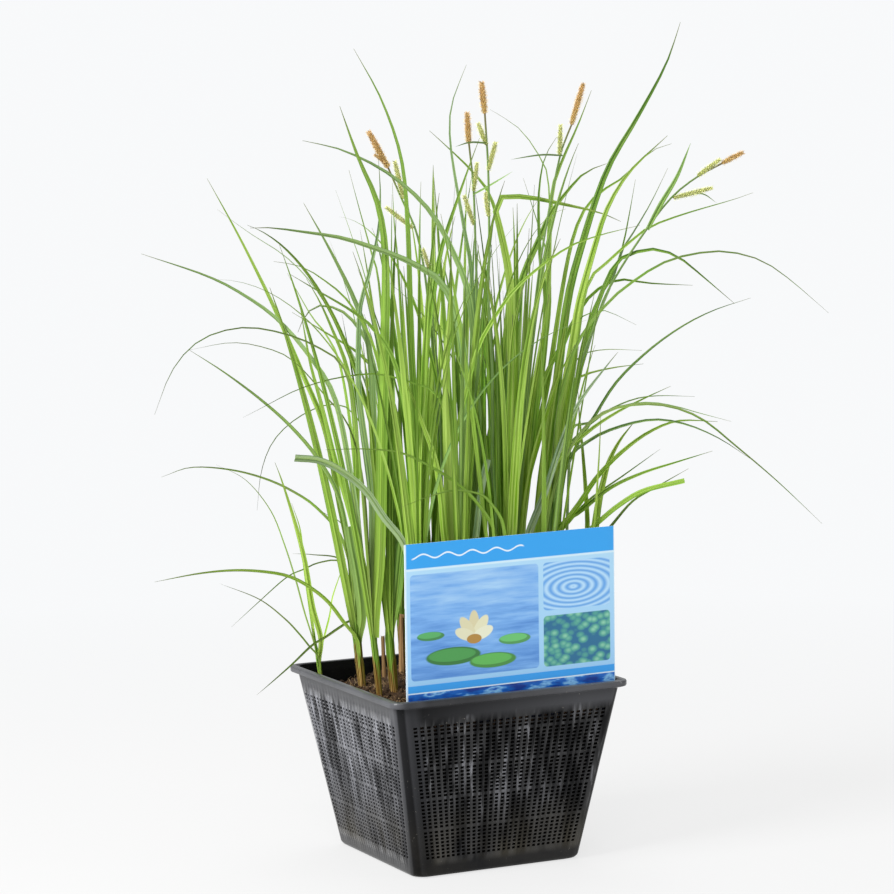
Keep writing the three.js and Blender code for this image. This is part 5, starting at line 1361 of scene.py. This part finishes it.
finish = Finish("printed card")
_, (x, y, z) = finish.place()
u = (x * 1000 - CARD_LEFT) / WIDE
v = CARD_TOP + u * CARD_RISE - z * 1000
across = u * WIDE


def round_box(left, right, top, bottom, radius=3):
    """1 inside a box with round corners: the distance outside the smaller box is under the radius."""
    dx = ((across - (left + right) / 2).abs() - ((right - left) / 2 - radius)).math("MAXIMUM", 0)
    dv = ((v - (top + bottom) / 2).abs() - ((bottom - top) / 2 - radius)).math("MAXIMUM", 0)
    return ((dx * dx + dv * dv) ** 0.5).under(radius, SOFT)


def disc(at, down, wide, tall):
    """1 inside an ellipse."""
    dx, dv = (across - at) / wide, (v - down) / tall
    return (dx * dx + dv * dv).under(1, 0.08)


# The head with a wave, the frame, and the water of the large picture.
large = round_box(4, 108, 22.5, 99.5)
wave = (v - 9.5 - (across * 0.32).sin() * 1.6).abs().under(0.55, 0.2)
ripple = finish.noise((across * 0.025, v * 0.22, 0.3), detail=4, rough=0.55)
colour = finish.over(
    (0.040, 0.38, 0.86),
    (v.above(HEAD, SOFT), (0.72, 0.86, 0.95)),
    (wave * across.above(6, 1) * across.under(96, 1), (0.90, 0.94, 0.97)),
    (v.above(FRAME_TOP, SOFT), finish.mix(v.above(60, 45), (0.50, 0.74, 0.93), (0.36, 0.62, 0.90))),
    (large, finish.ramp((ripple * 0.8 + v * 0.0035 - 0.1).clamp(), (0.25, (0.44, 0.66, 0.92)),
                        (0.5, (0.22, 0.45, 0.84)), (0.75, (0.08, 0.24, 0.62)))))
# Lily pads, each with a lighter middle, and a cream flower on that water.
for at, down, wide, tall, tint in PADS:
    colour = finish.over(
        colour,
        (disc(at, down, wide, tall) * large, tint),
        (disc(at - 1, down - 0.9, wide * 0.86, tall * 0.72) * large, tuple(1.7 * part for part in tint)))
for turn, reach, tint in PETALS:
    c, s = float(np.cos(np.radians(turn))), float(np.sin(np.radians(turn)))
    dx, dv = across - (55 + 0.55 * reach * s), v - (72 - 0.55 * reach * c)
    petal = ((dx * c + dv * s) / 4.2) ** 2 + ((dv * c - dx * s) / (0.62 * reach)) ** 2
    colour = finish.mix(petal.under(1, 0.1) * large, colour, tint)
# Rings on still water, and pebbles, in the two small pictures.
dx, dv = across - 137, (v - 42) / 0.45
rings_on = ((dx * dx + dv * dv) ** 0.5 * 0.9).sin() * 0.5 + 0.5
cells = {"Vector": finish.vector(across * 0.16, v * 0.22), "Scale": 1.0}
pebbles = finish.ramp(finish.node("TexVoronoi", None, cells, out="Distance"), (0.1, (0.30, 0.62, 0.42)),
                      (0.45, (0.10, 0.38, 0.30)), (0.75, (0.03, 0.16, 0.30)))
# The foot has a light line and a stripe of deep water. The sides are paler, the part that stands in the peat
# is painted near-black as shade inside the basket, the whole is toned down, and the back is plain.
deep = finish.ramp(finish.noise((across * 0.05, v * 0.16, 4.0)), (0.38, (0.010, 0.045, 0.30)),
                   (0.52, (0.015, 0.16, 0.62)), (0.60, (0.30, 0.62, 0.95)), (0.66, (0.02, 0.12, 0.55)))
colour = finish.over(
    colour,
    (disc(55, 73, 6, 3.5) * large, (0.50, 0.26, 0.06)),
    (round_box(112, WIDE - 4, 22.5, 58), finish.mix(rings_on, (0.16, 0.40, 0.80), (0.52, 0.74, 0.95))),
    (round_box(112, WIDE - 4, 62, 99.5), pebbles),
    (v.above(FRAME_FOOT, SOFT), (0.045, 0.36, 0.86)),
    (v.above(STRIPE_FOOT - 0.8, SOFT), (0.85, 0.92, 0.97)),
    (v.above(STRIPE_FOOT, SOFT), deep),
    (1 - across.above(1.3, SOFT) * across.under(WIDE - 0.5, SOFT), (0.72, 0.84, 0.94)),
    # painted shade on the card below the peat line
    ((z * 1000).under(PEAT_LINE, 1), (0.004, 0.008, 0.03)),
    (1.0, (0.70, 0.76, 0.78), "MULTIPLY"),
    ((y * 1000).above(CARD_FRONT + CARD_THICK / 2, 0.1), (0.86, 0.87, 0.87)))
card_finish = finish.done(Base_Color=colour, Roughness=0.35, Specular_IOR_Level=0.3)
dress(card, card_finish, "printed_card", "card")
print("card finish has", len(finish.tree.nodes), "nodes")

# %% [markdown]
# ## Sizes and the end
#
# The finished surfaces should reach as far as the solids do. Both boxes are written down.

# %% Sizes
sizes = {"cad": cad_box, "scene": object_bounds()}
{key: [list(map(float, corner)) for corner in box] for key, box in sizes.items()}
print(sizes)
